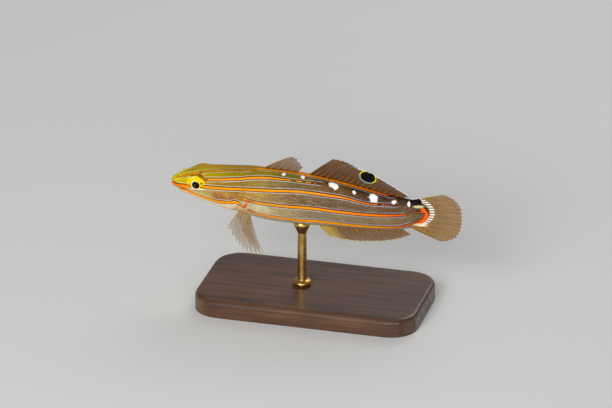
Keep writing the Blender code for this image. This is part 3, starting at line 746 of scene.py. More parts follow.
def make_skin_material(tail_group):
    made, tree, shader = new_material("goby skin", 0.42, Coat_Weight=0.03, Coat_Roughness=0.2,
                                      Specular_IOR_Level=0.06)
    run = calc(tree, "DIVIDE", field(tree, "run"), TOTAL_LENGTH)
    band = field(tree, "band")
    where = object_place(tree)
    fine = noise(tree, where, 2600, 4)
    broad = noise(tree, where, 420, 4, 0.6)
    soft = noise(tree, where, 160, 2)
    streaks = noise(tree, flowing(tree, 0.45, 3.0), 1.0, 4, 0.65)
    threads = noise(tree, flowing(tree, 0.3, 5.0), 1.0, 2)

    def along(*stops):
        return ramp(tree, run, stops)

    colour = along(*GROUND[0])
    for edge, stops in enumerate(GROUND[1:], 1):
        colour = mixed(tree, (band, edge - 0.22, edge + 0.22), colour, along(*stops))

    def lay(tone, *masks):
        """Lays a colour over what is there, where all its masks let it."""
        nonlocal colour
        colour = mixed(tree, times(tree, *masks), colour, tone)

    def between(value, *limits):
        return window(tree, value, *limits)

    # Streaks, scales and speckles
    lay((224, 204, 4), (run, 0.1, 0.03), (band, 3.1, 2.8), 0.8)
    low = ranged(tree, band, 2.0, 3.1, 0.3, 1.0)
    lay(along((0.15, 210, 194, 20), (0.28, 200, 182, 84), (0.4, 194, 182, 142), (0.8, 156, 136, 122)),
        (streaks, 0.5, 0.66), (run, 0.3, 0.6, 0.45, 0.32), low)
    lay(along((0.15, 112, 88, 0), (0.4, 88, 64, 30), (0.8, 56, 36, 20)), (streaks, 0.48, 0.3), 0.55)
    lay((196, 112, 0), (threads, 0.55, 0.68), (band, 2.6, 2.2), (run, 0.42, 0.3, 0.0, 0.6))
    scale = field(tree, "scale")
    # Painted shade along the low edges of the scales and a painted highlight on their raised parts, both taken
    # from the scale relief
    lay((66, 46, 26), (scale, 0.4, 0.0), (run, 0.14, 0.32), 0.5)
    lay((206, 190, 176), (scale, 0.55, 0.95), (run, 0.3, 0.42), low, 0.22)
    lay((146, 82, 50), between(run, 0.13, 0.17, 0.235, 0.265), between(band, 3.0, 3.2, 3.75, 3.95),
        (broad, 0.36, 0.6, 0.25, 1.0), 0.75)
    lay((34, 20, 4), (broad, 0.44, 0.6), (run, 0.3, 0.48), (band, 2.4, 1.8, 0.1, 0.75))
    lay(along((0.2, 236, 214, 90), (0.5, 206, 182, 160)), (fine, 0.54, 0.7), 0.22, low)
    lay(along((0.2, 100, 76, 10), (0.5, 60, 44, 34)), (fine, 0.46, 0.3), 0.3)
    lay((90, 56, 20), (soft, 0.45, 0.7), 0.14)

    # Round the eye, over the cheek and under the throat
    lid = field(tree, "lid")
    # Painted shade: a dark arch in the crease above the eye
    lay((84, 74, 6), (apart(tree, lid, 2.14), 0.24, 0.08), (band, 2.35, 2.15), (run, 0.072, 0.085), 0.8)
    from_rim = calc(tree, "SUBTRACT", lid, (run, 0.085, 0.07, 0.0, 0.32))
    lay((255, 222, 0), (from_rim, 2.02, 1.84), (band, 3.12, 3.0), 0.96)
    lay((160, 150, 84), between(run, 0.06, 0.09, 0.14, 0.18), between(band, 3.05, 3.25, 3.8, 3.95), 0.6)
    lay((202, 196, 128), between(run, 0.07, 0.09, 0.13, 0.17), between(band, 3.0, 3.3, 3.7, 3.9),
        (streaks, 0.46, 0.62), 0.6)
    lay((240, 236, 206), (lid, 2.1, 1.8), between(band, 3.0, 3.1, 3.22, 3.32), 0.85)
    lay((244, 220, 182), between(run, 0.03, 0.06, 0.2, 0.25), (band, 4.1, 4.3), 0.75)

    # Behind the gill cover
    lay((232, 226, 176), between(run, 0.285, 0.3, 0.34, 0.385), between(band, 4.0, 4.2, 4.8, 5.0),
        (streaks, 0.35, 0.6, 0.25, 1.0), 0.65)
    lay((204, 152, 98), between(run, 0.2, 0.25, 0.275, 0.285), between(band, 3.8, 4.1, 5.2, 5.6), 0.65)
    # Painted shade just behind the pectoral fin's base
    lay((120, 98, 20), between(run, 0.281, 0.286, 0.29, 0.312), between(band, 4.0, 4.2, 4.5, 4.95),
        (broad, 0.3, 0.6), 0.55)

    # The lines: pale beside them, dark rims and orange
    patches = noise(tree, flowing(tree, 0.9, 0.6), 1.0, 1)
    worn = times(tree, field(tree, "broken"), (patches, 0.46, 0.54, 0.45, 0.0))
    edge = field(tree, "edge")
    beyond = calc(tree, "ADD", edge, calc(tree, "ADD", field(tree, "gap"), worn))
    rim_width = field(tree, "rim_width")
    from_pale = apart(tree, calc(tree, "SUBTRACT", edge, rim_width), 0.12)
    lay(along((0.0, 236, 228, 214), (0.4, 214, 208, 206), (0.7, 168, 168, 176), (1.0, 160, 160, 170)),
        (from_pale, 0.14, 0.04), field(tree, "beside"), (streaks, 0.35, 0.6, 0.6, 1.0),
        (run, 0.03, 0.12, 0.4, 1.0))
    lay(along((0.1, 90, 44, 4), (0.3, 56, 26, 12), (0.6, 34, 18, 24)),
        (calc(tree, "SUBTRACT", beyond, rim_width), 0.06, -0.05), field(tree, "rim"), 0.94)
    tint = along((0.0, 250, 104, 0), (0.05, 252, 130, 0), (0.14, 255, 160, 0), (0.5, 255, 152, 0),
                 (0.75, 248, 112, 0), (0.9, 246, 92, 0))
    low_tint = along((0.3, 255, 150, 0), (0.7, 255, 160, 0), (0.79, 236, 112, 0), (0.83, 190, 72, 6),
                     (0.87, 250, 96, 0))
    tint = mixed(tree, (band, 4.4, 4.7), tint, low_tint)
    back_tint = along((0.0, 230, 132, 0), (0.25, 236, 124, 4), (0.32, 255, 156, 10), (0.6, 255, 136, 0),
                      (0.75, 232, 96, 4))
    tint = mixed(tree, (band, 1.6, 1.2), tint, back_tint)
    hood = times(tree, (lid, 2.95, 2.75), (band, 2.6, 2.3), (run, 0.1, 0.11))
    tint = mixed(tree, hood, tint, (176, 84, 10))
    base = times(tree, between(run, 0.258, 0.266, 0.29, 0.315), (band, 3.6, 3.9), 0.85)
    tint = mixed(tree, base, tint, (208, 80, 4))
    fading = ranged(tree, soft, 0.4, 0.6, (run, 0.62, 0.75, 1.0, 0.75), 1.0)
    lay(tint, (beyond, 0.06, -0.06), field(tree, "orange"), fading)

    # White blotches, and the marks over the tail's root
    grit = noise(tree, where, 1500, 2)
    lumpy = calc(tree, "ADD", field(tree, "blotch"), times(tree, calc(tree, "SUBTRACT", grit, 0.5), 1.3))
    lay((214, 112, 20), (lumpy, -0.55, -0.15), (noise(tree, where, 2100, 1), 0.53, 0.66), 0.6)
    lay((206, 196, 214), (lumpy, -0.06, 0.1, 0.0, 0.6))
    lay((255, 252, 246), (lumpy, 0.05, 0.28))
    marks = use_group(tree, tail_group, Position=where)
    lay((234, 222, 168), marks["Cream"], 0.8)
    lay((246, 232, 192), marks["Lower Cream"], 0.9)
    lay((14, 10, 12), marks["Black"], (run, 0.8, 0.82))
    # Painted shade in the mouth crease, the gill slit and the nostril pits and tubes
    lay((50, 26, 14), field(tree, "shade"), 0.8)
    join(tree, shader.inputs["Base Color"], colour)
    join(tree, shader.inputs["Roughness"], (fine, 0.3, 0.7, 0.32, 0.5))
    join(tree, shader.inputs["Normal"], relief(tree, fine, 0.25, 0.00006))
    return made


def make_eye_material():
    made, tree, shader = new_material("goby eye", 0.25, Coat_Weight=0.22, Coat_Roughness=0.03,
                                      Specular_IOR_Level=0.05)
    gaze = tree.nodes.new("ShaderNodeAttribute")
    gaze.attribute_name = "gaze"
    back, up, _ = parts_of(tree, gaze.outputs["Vector"])
    reach = length_of(tree, gaze.outputs["Vector"])
    grain = noise(tree, object_place(tree), 2200, 4)
    below = mixed(tree, (up, -1.4, -1.15), (182, 172, 84), (255, 244, 226))
    colour = mixed(tree, (up, -0.9, -0.76), below, (255, 212, 0))
    crescent = times(tree, (back, -0.4, -0.7), (up, 0.35, 0.6), (reach, 1.25, 1.0), 0.8)
    colour = mixed(tree, crescent, colour, (255, 250, 226))
    # Painted shade: dark grain low on the eyeball, under the lower lid
    dots = times(tree, (up, -1.0, -1.3), (grain, 0.5, 0.6), 0.7)
    colour = mixed(tree, dots, colour, (70, 50, 40))
    # Where the head's stripe crosses the eye: height, half width, reach, strength of its rims, colour
    for centre, half, ends, dark, gold in ((-0.24, 0.2, (-0.8, -1.3), 0.3, (255, 178, 0)),
                                           (-0.08, 0.34, (0.85, 1.1), 1.0, (255, 204, 0))):
        across = apart(tree, up, centre)
        reached = ranged(tree, back, *ends)
        rim = times(tree, (across, half + 0.32, half + 0.18), reached, (back, 1.7, 1.4), dark)
        colour = mixed(tree, rim, colour, (36, 20, 10))
        core = times(tree, (across, half + 0.05, half - 0.05), reached)
        colour = mixed(tree, core, colour, gold)
    ring = mixed(tree, (back, -0.25, 0.2), (255, 246, 214), (255, 226, 20))
    colour = mixed(tree, (reach, 1.02, 0.97), colour, ring)
    colour = mixed(tree, (reach, 0.9, 0.84), colour, (2, 2, 3))
    # Painted reflection: a dim greenish glint in the pupil
    glint = times(tree, (apart(tree, back, -0.2), 0.26, 0.0), (apart(tree, up, 0.0), 0.46, 0.0), 0.7)
    colour = mixed(tree, glint, colour, (96, 106, 30))
    join(tree, shader.inputs["Base Color"], colour)
    join(tree, shader.inputs["Normal"], relief(tree, grain, 0.06, 0.00003))
    return made


def make_eyes():
    """Eyeballs with a low bulge over the pupil, each looking a little ahead and down."""
    made = make_eye_material()
    rings, sides, bulge = 43, 56, 0.1
    ahead, below = 0.05, 0.06
    for label, side in (("left", -1), ("right", 1)):
        points = []
        for i in range(1, rings + 1):
            tilt = math.pi * i / (rings + 1)
            radius = EYE_RADIUS * math.sin(tilt)
            y = EYE[1] + (EYE_DEPTH + bulge * math.exp(-((tilt / 0.42) ** 2))) * math.cos(tilt)
            for k in range(sides):
                t = 2 * math.pi * k / sides
                points.append((EYE[0] + radius * math.cos(t), side * y, EYE[2] + radius * math.sin(t)))
        points += [(EYE[0], side * (EYE[1] + EYE_DEPTH + bulge), EYE[2]),
                   (EYE[0], side * (EYE[1] - EYE_DEPTH), EYE[2])]
        front, rear = len(points) - 2, len(points) - 1
        last = (rings - 1) * sides
        faces = ring_faces(rings, sides)
        for k in range(sides):
            after = (k + 1) % sides
            faces += [(front, after, k), (rear, last + k, last + after)]
        if side < 0:
            faces = [face[::-1] for face in faces]
        gaze = np.array([(p[0] - EYE[0] + ahead, p[2] - EYE[2] + below, 0.0) for p in points])
        piece = mesh_piece(f"goby_eye_{label}", points, faces, vectors={"gaze": gaze}, material=made)
        finish_piece(piece, "eye", f"eye_{label}")


# Fins


class Fin:
    """Rays of one fin, each root, bend and tip in s, y, z, and the sheet that they span."""

    def __init__(self, rays):
        self.rays = np.array(rays, float)
        self.count = len(rays)

    def at(self, index, along):
        index, along = np.broadcast_arrays(np.asarray(index, float), np.asarray(along, float))
        i = np.clip(index.astype(int), 0, self.count - 2)
        part = (index - i)[..., None]
        u = along[..., None]
        first, second = self.rays[i], self.rays[i + 1]
        ray = first + (second - first) * part[..., None]
        return ray[..., 0, :] * (1 - u) ** 2 + ray[..., 1, :] * 2 * u * (1 - u) + ray[..., 2, :] * u * u


def fin_sheet(name, fin, notch, material):
    """The membrane: a thin closed sheet, drawn in a little between the tips and sagging between the rays."""
    per_ray, rows = 8, 30
    index = np.linspace(0, fin.count - 1, (fin.count - 1) * per_ray + 1)
    part = index - np.floor(index + 1e-9)
    gap = np.minimum(part, 1 - part) * 2
    edge = 1 - notch * gap**0.8
    u = np.linspace(0, 1, rows)
    at, along = np.meshgrid(index, u, indexing="ij")
    reach = along * edge[:, None]
    middle = fin.at(at, reach)
    down = np.gradient(middle, axis=1)
    across = np.gradient(middle, axis=0)
    normal = np.cross(down, across)
    normal /= np.maximum(np.linalg.norm(normal, axis=-1, keepdims=True), 1e-9)
    each_way = np.where(np.floor(index) % 2 < 1, 1, -1)
    wave = MEMBRANE_SAG * np.sin(math.pi * part)[:, None] * np.sqrt(along) * each_way[:, None]
    middle = middle + normal * wave[..., None]
    half = (MEMBRANE_THICKNESS * (1 - 0.55 * along) / 2)[..., None]
    verts = np.concatenate([(middle + normal * half).reshape(-1, 3), (middle - normal * half).reshape(-1, 3)])
    columns = len(index)
    back = columns * rows
    faces = []
    for c in range(columns - 1):
        for r in range(rows - 1):
            a = c * rows + r
            b = a + rows
            faces += [(a, a + 1, b + 1, b), (back + a, back + b, back + b + 1, back + a + 1)]
    rim = [c * rows for c in range(columns)] + [(columns - 1) * rows + r for r in range(1, rows)]
    rim += [c * rows + rows - 1 for c in range(columns - 2, -1, -1)] + list(range(rows - 2, 0, -1))
    faces += [(a, b, back + b, back + a) for a, b in zip(rim, rim[1:] + rim[:1])]
    fields = {"along": along, "ray_gap": np.broadcast_to(gap[:, None], at.shape), "ray_number": at}
    fields = {key: np.tile(values.reshape(-1), 2) for key, values in fields.items()}
    return mesh_piece(name, verts, faces, fields, material=material)


def ray_lines(fin, branches, thick):
    """Paths of every ray and its branches: points, edges, and each point's radius and place on the sheet."""
    points, edges, radius, along, number = [], [], [], [], []
    steps, fork, second_fork, tip = 16, 0.42, 0.7, 0.985
    spread, second_spread = 0.17, 0.1

    def add(index, offsets, start, end, wide, thin):
        u = np.linspace(start, end, steps)
        t = (u - start) / (end - start)
        at = np.clip(index + offsets[0] + (offsets[1] - offsets[0]) * ease(t, 0, 1), 0, fin.count - 1)
        path = fin.at(at, u)
        first = len(points)
        points.extend(path)
        edges.extend((first + k, first + k + 1) for k in range(len(path) - 1))
        radius.extend(wide + (thin - wide) * t)
        along.extend(u)
        number.extend(at)

    for i in range(fin.count):
        if branches == 0 or i == 0:
            add(i, (0, 0), 0.0, 1.0, thick, thick * 0.3)
            continue
        add(i, (0, 0), 0.0, fork, thick, thick * 0.72)
        for side in (-spread, spread):
            if branches == 1:
                add(i, (0, side), fork, tip, thick * 0.55, thick * 0.22)
                continue
            add(i, (0, side), fork, second_fork, thick * 0.55, thick * 0.42)
            for twig in (-second_spread, second_spread):
                add(i, (side, side + twig), second_fork, tip, thick * 0.36, thick * 0.18)
    return points, edges, radius, along, number


def make_ray_tree():
    """Turns ray paths into round tapered rays."""
    tree = bpy.data.node_groups.new("fin rays", "GeometryNodeTree")
    for label, kind, value in (("Geometry", "Geometry", None), ("Sides", "Int", 6),
                               ("Thickness", "Float", 1.0), ("Finish", "Material", None)):
        socket = tree.interface.new_socket(label, in_out="INPUT", socket_type="NodeSocket" + kind)
        if value is not None:
            socket.default_value = value
    tree.interface.new_socket("Geometry", in_out="OUTPUT", socket_type="NodeSocketGeometry")
    given, result = tree.nodes.new("NodeGroupInput"), tree.nodes.new("NodeGroupOutput")
    scaled = tree.nodes.new("ShaderNodeMath")
    lines, width, circle, sweep, shade, solid, finish = (
        tree.nodes.new("GeometryNode" + kind)
        for kind in ("MeshToCurve", "InputNamedAttribute", "CurvePrimitiveCircle", "CurveToMesh",
                     "SetShadeSmooth", "RealizeInstances", "SetMaterial"))
    width.data_type = "FLOAT"
    width.inputs["Name"].default_value = "ray_radius"
    scaled.operation = "MULTIPLY"
    circle.inputs["Radius"].default_value = 1.0
    sweep.inputs["Fill Caps"].default_value = True
    for source, output, target, entry in (
        (given, "Geometry", lines, "Mesh"), (width, "Attribute", scaled, 0), (given, "Thickness", scaled, 1),
        (given, "Sides", circle, "Resolution"), (lines, "Curve", sweep, "Curve"),
        (circle, "Curve", sweep, "Profile Curve"), (scaled, 0, sweep, "Scale"),
        (sweep, "Mesh", shade, "Geometry"), (shade, "Geometry", solid, "Geometry"),
        (solid, "Geometry", finish, "Geometry"),
        (given, "Finish", finish, "Material"), (finish, "Geometry", result, "Geometry"),
    ):
        tree.links.new(source.outputs[output], target.inputs[entry])
    return tree


def fin_rays(name, fin, branches, thick, tree, material):
    points, edges, radius, along, number = ray_lines(fin, branches, thick)
    mesh = bpy.data.meshes.new(name + "_paths")
    mesh.from_pydata(place(points).tolist(), edges, [])
    add_fields(mesh, {"ray_radius": np.array(radius) * MM, "along": along, "ray_number": number})
    obj = add_object(name, mesh)
    modifier = obj.modifiers.new("rays", "NODES")
    modifier.node_group = tree
    sockets = {item.name: item.identifier for item in tree.interface.items_tree if item.in_out == "INPUT"}
    modifier[sockets["Sides"]] = 6
    modifier[sockets["Thickness"]] = 1.0
    modifier[sockets["Finish"]] = material
    made = bpy.data.meshes.new_from_object(obj.evaluated_get(bpy.context.evaluated_depsgraph_get()))
    obj.modifiers.remove(modifier)
    obj.data = made
    return obj


def midline_fin(base, edge, count, up, bow, sink=0.45):
    """A fin on the middle plane between the back or belly and its own edge."""
    rays = []
    surface = BACK_LINE if up > 0 else BELLY_LINE
    for i in range(count):
        share = i / (count - 1)
        root_s = base[0] + (base[1] - base[0]) * share
        tip_s = edge[0][0] + (edge[-1][0] - edge[0][0]) * share
        root_z = height_at(surface, root_s) - up * sink
        tip_z = line_at(edge, tip_s)
        middle = ((root_s + tip_s) / 2, 0.0, (root_z + tip_z) / 2 + up * bow)
        rays.append(((root_s, 0.0, root_z), middle, (tip_s, 0.0, tip_z)))
    return Fin(rays)


def tail_fan():
    count = 17
    start = STANDARD_LENGTH + 0.3
    top = height_at(BACK_LINE, STANDARD_LENGTH) - 0.35
    bottom = height_at(BELLY_LINE, STANDARD_LENGTH) + 0.2
    rays = []
    for i in range(count):
        across = 1 - 2 * i / (count - 1)
        root = (start, 0.0, (top + bottom) / 2 + (top - bottom) / 2 * across)
        angle = math.radians(19 * across - 3)
        length = (TOTAL_LENGTH - start) * (1 - 0.34 * abs(across) ** 3)
        tip = (root[0] + length * math.cos(angle), 0.0, root[2] + length * math.sin(angle))
        bend = (root[0] + 0.5 * (tip[0] - root[0]), 0.0, root[2] + 0.56 * (tip[2] - root[2]))
        rays.append((root, bend, tip))
    return Fin(rays)


def side_y(s, z):
    """Half the body's width at a height."""
    middle, half_height, half_width = section(np.array(s))
    share = min(1.0, abs(z - float(middle)) / float(half_height))
    return float(half_width) * (1 - share**ROUNDNESS) ** (1 / ROUNDNESS)


def side_ray(side, root, tip, bow):
    """One ray of a paired fin on its side of the fish, bowed at its middle."""
    bend = [r + 0.5 * (t - r) + b for r, t, b in zip(root, tip, bow)]
    return tuple((s, side * y, z) for s, y, z in (root, bend, tip))


def pectoral_fan(side):
    count, longest, out = 14, 10.8, math.radians(9)
    rays = []
    for i in range(count):
        across = 1 - 2 * i / (count - 1)
        root_s, root_z = 17.95 + 0.25 * abs(across), -1.55 + 1.45 * across
        root_y = side_y(root_s, root_z) + 0.2
        angle = math.radians(15 * across + 3)
        length = longest * (1 - 0.3 * abs(across) ** 2.5)
        tip = (root_s + length * math.cos(angle) * math.cos(out), root_y + length * math.sin(out) + 0.3,
               root_z + length * math.sin(angle))
        rays.append(side_ray(side, (root_s, root_y, root_z), tip, (0, 0.3, 0)))
    return Fin(rays)


def pelvic_fan(side):
    count = 9
    spine_tip, last_tip = (13.7, 3.6, -8.0), (20.6, 0.75, -15.2)
    rays = []
    for i in range(count):
        share = i / (count - 1)
        root_s, root_y = 15.9 + 1.4 * share, 1.5 - 0.95 * share
        middle, half_height, half_width = (float(v) for v in section(np.array(root_s)))
        drop = half_height * (1 - (root_y / half_width) ** ROUNDNESS) ** (1 / ROUNDNESS)
        tip = [a + (b - a) * share**0.8 for a, b in zip(spine_tip, last_tip)]
        tip[2] -= 1.3 * math.sin(math.pi * share)
        tip[0] -= 0.9 * math.sin(math.pi * share)
        rays.append(side_ray(side, (root_s, root_y, middle - drop + 0.4), tip, (-0.7, 0, 0)))
    return Fin(rays)


def make_ocellus_group():
    """The eye-like spot of the second dorsal fin, the same on its membrane and its rays."""
    group, given, result = new_group(
        "ocellus", (("Position", VECTOR, None), ("Colour", COLOUR, None), ("Alpha", FLOAT, 1.0)),
        (("Colour", COLOUR), ("Alpha", FLOAT)))
    spot = oval(group, given["Position"], (44.15, 6.15), (1.55, 1.1), 14)
    reach = length_of(group, spot)
    back, _, up = parts_of(group, spot)
    low = calc(group, "SUBTRACT", times(group, back, -0.35), up)
    rim = mixed(group, (low, 0.35, 0.7), (232, 208, 0), (150, 172, 160))
    ring = ranged(group, reach, 1.3, 1.22)
    colour = mixed(group, ring, given["Colour"], rim)
    colour = mixed(group, (reach, 1.13, 1.06), colour, (6, 6, 8))
    join(group, result["Colour"], colour)
    join(group, result["Alpha"], calc(group, "MAXIMUM", given["Alpha"], ring))
    return group


def fin_material(name, tones, clear, groups, marks=""):
    """A fin's finish: tones are its colours at the root, at the edge and in streaks, clear its two alphas."""
    made, tree, shader = new_material(name, 0.4, Specular_IOR_Level=0.08)
    where = object_place(tree)
    along = field(tree, "along")
    number = field(tree, "ray_number")
    lengthways = tree.nodes.new("ShaderNodeCombineXYZ")
    join(tree, lengthways.inputs[0], times(tree, number, 5.0))
    join(tree, lengthways.inputs[1], times(tree, along, 1.6))
    streak = noise(tree, lengthways.outputs[0], 1.0, 3)
    fine = noise(tree, where, 3000, 3)
    colour = mixed(tree, (along, 0.0, 1.0), tones[0], tones[1])
    colour = mixed(tree, (streak, 0.45, 0.65, 0.0, 0.5), colour, tones[2])
    colour = mixed(tree, (fine, 0.5, 0.7, 0.0, 0.25), colour, tones[0])
    alpha = times(tree, (along, 0.0, 1.0, *clear), (streak, 0.3, 0.7, 0.8, 1.15))
    if "ray" in name:
        joints = calc(tree, "SINE", times(tree, calc(tree, "ADD", along, times(tree, streak, 0.05)), 90.0))
        colour = mixed(tree, (joints, 0.0, 0.8, 0.0, 0.35), colour, tones[2])
    if marks == "dorsal":
        edge = times(tree, (along, 0.935, 0.96), (number, 3.5, 6.0), 0.9)
        colour = mixed(tree, edge, colour, (226, 232, 230))
        alpha = calc(tree, "MAXIMUM", alpha, edge)
        spot = use_group(tree, groups["ocellus"], Position=where, Colour=colour, Alpha=alpha)
        colour, alpha = spot["Colour"], spot["Alpha"]
    if marks == "anal":
        edge = ranged(tree, along, 0.92, 0.96)
        colour = mixed(tree, edge, colour, (206, 186, 150))
        colour = mixed(tree, times(tree, (number, 4.0, 1.0), 0.6), colour, (216, 182, 24))
        alpha = calc(tree, "MAXIMUM", alpha, times(tree, edge, 0.7))
    if marks == "tail":
        spot = use_group(tree, groups["tail"], Position=where)
        tick = spot["Ring"]
        if "ray" not in name:
            tick = times(tree, tick, (field(tree, "ray_gap"), 0.66, 0.46))
        colour = mixed(tree, spot["Lower Cream"], colour, (246, 232, 192))
        colour = mixed(tree, tick, colour, (244, 240, 230))
        colour = mixed(tree, spot["Black"], colour, (14, 10, 12))
        for mark in (tick, spot["Black"], times(tree, spot["Lower Cream"], 0.9)):
            alpha = calc(tree, "MAXIMUM", alpha, mark)
    join(tree, shader.inputs["Base Color"], colour)
    join(tree, shader.inputs["Alpha"], alpha)
    join(tree, shader.inputs["Normal"], relief(tree, fine, 0.2, 0.00004))
    return made


def finish_piece(piece, slot, *nodes):
    if nodes:
        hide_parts(*nodes)
    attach(piece, "root")


PECTORAL = (2, 0.05, 0.04, ((196, 170, 122), (196, 172, 130), (176, 142, 90)), (206, 178, 130), (0.04, 0.05),
            "")
PELVIC = (1, 0.09, 0.16, ((150, 112, 66), (140, 108, 70), (170, 128, 76)), (224, 194, 142), (0.4, 0.22), "")
FIRST_DORSAL_EDGE = ((26.4, 8.9), (27.4, 9.4), (28.4, 8.9), (29.7, 6.9))
SECOND_DORSAL_EDGE = ((36.5, 9.66), (38.4, 9.52), (40.3, 8.9), (42.7, 7.9), (45.9, 6.8), (48.1, 5.6),
                      (50.6, 4.1), (53.5, 2.35))
ANAL_EDGE = ((35.9, -8.8), (39.5, -9.4), (42.5, -9.4), (48.0, -8.8), (51.5, -7.8), (53.9, -6.6))

# Each fin's name, shape, ray branches, ray thickness, notch between its tips, membrane colours at the root,
# at the edge and in streaks, ray colour, alpha at the root and the edge, and marks
FINS = (
    ("first_dorsal_fin", midline_fin((20.2, 28.2), FIRST_DORSAL_EDGE, 6, 1, 0.35),
     0, 0.1, 0.1, ((100, 66, 16), (112, 78, 30), (136, 96, 40)), (206, 152, 78), (0.7, 0.46), ""),
    ("second_dorsal_fin", midline_fin((30.6, 50.9), SECOND_DORSAL_EDGE, 17, 1, 0.25),
     1, 0.09, 0.03, ((72, 40, 2), (90, 56, 10), (116, 76, 22)), (196, 136, 58), (0.88, 0.7), "dorsal"),
    ("anal_fin", midline_fin((32.8, 51.4), ANAL_EDGE, 17, -1, 0.2),
     1, 0.09, 0.04, ((112, 70, 10), (110, 70, 14), (150, 102, 28)), (212, 152, 60), (0.74, 0.56), "anal"),
    ("tail_fin", tail_fan(),
     2, 0.1, 0.03, ((120, 80, 14), (144, 100, 24), (158, 110, 30)), (222, 170, 80), (0.72, 0.52), "tail"),
    ("pectoral_fin_left", pectoral_fan(-1), *PECTORAL),
    ("pectoral_fin_right", pectoral_fan(1), *PECTORAL),
    ("pelvic_fin_left", pelvic_fan(-1), *PELVIC),
    ("pelvic_fin_right", pelvic_fan(1), *PELVIC),
)


def make_fins(groups):
    tree = make_ray_tree()
    for name, fin, branches, thick, notch, tones, ray_tone, clear, marks in FINS:
        sheet_finish = fin_material(name + " membrane", tones, clear, groups, marks)
        ray_clear = (0.2, 0.1) if "pectoral" in name else (0.95, 0.8)
        ray_finish = fin_material(name + " ray", (ray_tone, ray_tone, tones[0]), ray_clear, groups, marks)
        sheet = fin_sheet("goby_" + name + "_membrane", fin, notch, sheet_finish)
        rays = fin_rays("goby_" + name + "_rays", fin, branches, thick, tree, ray_finish)
        finish_piece(sheet, "fin", name)
        finish_piece(rays, "fin")


# Stand


def softened(outline, radius, steps=5):
    """An outline with its corners rounded."""
    made = [outline[0]]
    for before, corner, after in zip(outline, outline[1:], outline[2:]):
        ends = []
        for other in (before, after):
            length = math.dist(corner, other)
            share = min(radius, 0.45 * length) / length
            ends.append([c + (o - c) * share for c, o in zip(corner, other)])
        for t in np.linspace(0, 1, steps):
            weights = (1 - t) ** 2, 2 * t * (1 - t), t * t
            made.append([sum(w * p for w, p in zip(weights, axis)) for axis in zip(ends[0], corner, ends[1])])
    return made + [outline[-1]]


def turn_rod(brass):
    """The turned rod: its collar stands on the base and its flared cradle holds the belly."""
    sides = 96
    belly = height_at(BELLY_LINE, ROD_STATION)
    collar = BASE_HEIGHT + ROD_GAP - AXIS_HEIGHT
    outline = softened(
        [(ROD_RADIUS, collar - ROD_SUNK), (ROD_RADIUS, collar), (COLLAR_RADIUS, collar),
         (COLLAR_RADIUS, collar + 0.6 * COLLAR_HEIGHT), (COLLAR_RADIUS - 0.35, collar + COLLAR_HEIGHT),
         (ROD_RADIUS, collar + COLLAR_HEIGHT + 0.1), (ROD_RADIUS, belly - CRADLE_HEIGHT),
         (CRADLE_RADIUS, belly - 0.3), (CRADLE_RADIUS, belly + 0.6)], 0.18)
    turns = 2 * math.pi * np.arange(sides) / sides
    points = [(ROD_STATION + r * math.cos(t), r * math.sin(t), z) for r, z in outline for t in turns]
    faces = [tuple(reversed(range(sides))), tuple(range(len(points) - sides, len(points)))]
    faces += ring_faces(len(outline), sides)
    finish_piece(mesh_piece("stand_rod_turned", points, faces, material=brass), "stand_brass", "stand_rod")


def finish_stand():
    walnut, tree, shader = new_material("oiled walnut", 0.42, Coat_Weight=0.3, Coat_Roughness=0.25)
    grain = noise(tree, stretched(tree, 60.0, 700.0, 900.0), 1.0, 6, 0.62)
    broad = noise(tree, object_place(tree), 70, 3)
    colour = ramp(tree, grain, ((0.3, 46, 26, 14), (0.5, 86, 52, 28), (0.7, 112, 72, 42)))
    colour = mixed(tree, times(tree, (broad, 0.4, 0.7), 0.4), colour, (54, 30, 18))
    join(tree, shader.inputs["Base Color"], colour)
    join(tree, shader.inputs["Roughness"], (grain, 0.3, 0.7, 0.5, 0.36))
    join(tree, shader.inputs["Normal"], relief(tree, grain, 0.25, 0.0001))

    brass, tree, shader = new_material("satin brass", 0.26, Metallic=1.0)
    brushed = noise(tree, stretched(tree, 300.0, 300.0, 6000.0), 1.0, 3)
    cloud = noise(tree, object_place(tree), 400, 3)
    colour = mixed(tree, (cloud, 0.35, 0.7), (214, 178, 104), (190, 148, 78))
    join(tree, shader.inputs["Base Color"], colour)
    join(tree, shader.inputs["Roughness"], (brushed, 0.3, 0.7, 0.2, 0.36))
    join(tree, shader.inputs["Normal"], relief(tree, brushed, 0.12, 0.00003))
    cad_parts["stand_base"].material_slots[0].material = walnut
    turn_rod(brass)


# Stage


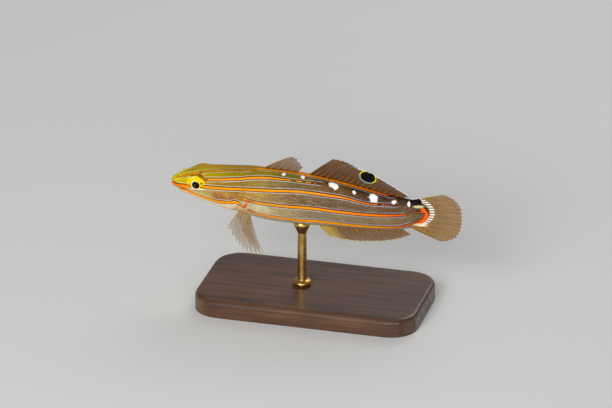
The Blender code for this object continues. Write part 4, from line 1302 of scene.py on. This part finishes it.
def make_stage():
    azimuth, elevation = math.radians(VIEW_AZIMUTH), math.radians(VIEW_ELEVATION)
    right = Vector((math.cos(azimuth), math.sin(azimuth), 0))
    level = Vector((math.sin(azimuth), -math.cos(azimuth), 0))
    back = level * math.cos(elevation) + Vector((0, 0, math.sin(elevation)))
    target = Vector((0, 0, AXIS_HEIGHT)) + right * VIEW_ASIDE + back.cross(right) * VIEW_UP
    lens = bpy.data.cameras.new("camera")
    lens.lens = 300
    lens.sensor_width = 36
    lens.clip_end = 10
    camera = add_object("camera", lens)
    distance = PHOTO_WIDTH * PIXEL * lens.lens / lens.sensor_width
    camera.location = (target + back * distance) * MM
    camera.rotation_euler = back.to_track_quat("Z", "Y").to_euler()
    bpy.context.scene.camera = camera

    mesh = bpy.data.meshes.new("studio_floor")
    corners = [(-1.5, -1.5, 0), (1.5, -1.5, 0), (1.5, 1.5, 0), (-1.5, 1.5, 0)]
    mesh.from_pydata(corners, [], [(0, 1, 2, 3)])
    pale, _, shader = new_material("pale floor", 0.8)
    shader.inputs["Base Color"].default_value = (0.84, 0.84, 0.82, 1)
    mesh.materials.append(pale)
    floor = add_object("studio_floor", mesh)

    # Each light's name, place, watts and width
    for name, spot, energy, size in (("key", (-0.12, -0.7, 0.4), 3.5, 0.35),
                                     ("fill", (0.2, -0.65, 0.07), 2.0, 0.5),
                                     ("rim", (0.1, 0.5, 0.5), 1.2, 0.4)):
        light = bpy.data.lights.new(name, "AREA")
        light.energy = energy
        light.size = size
        lamp = add_object(name, light)
        lamp.location = spot
        aim = Vector(spot) - Vector((0, 0, AXIS_HEIGHT * MM))
        lamp.rotation_euler = aim.to_track_quat("Z", "Y").to_euler()

    world = bpy.data.worlds.new("studio")
    world.use_nodes = True
    sky = world.node_tree.nodes["Background"]
    sky.inputs["Color"].default_value = (0.8, 0.82, 0.85, 1)
    sky.inputs["Strength"].default_value = 0.3
    bpy.context.scene.world = world
    bpy.context.scene.view_settings.view_transform = "Standard"


def main():
    tail_group = make_tail_spot_group()
    skin = make_skin()
    skin.data.materials.append(make_skin_material(tail_group))
    finish_piece(skin, "skin", "head", "lower_jaw", "trunk", "tail")
    make_eyes()
    make_fins({"ocellus": make_ocellus_group(), "tail": tail_group})
    finish_stand()
    make_stage()


main()
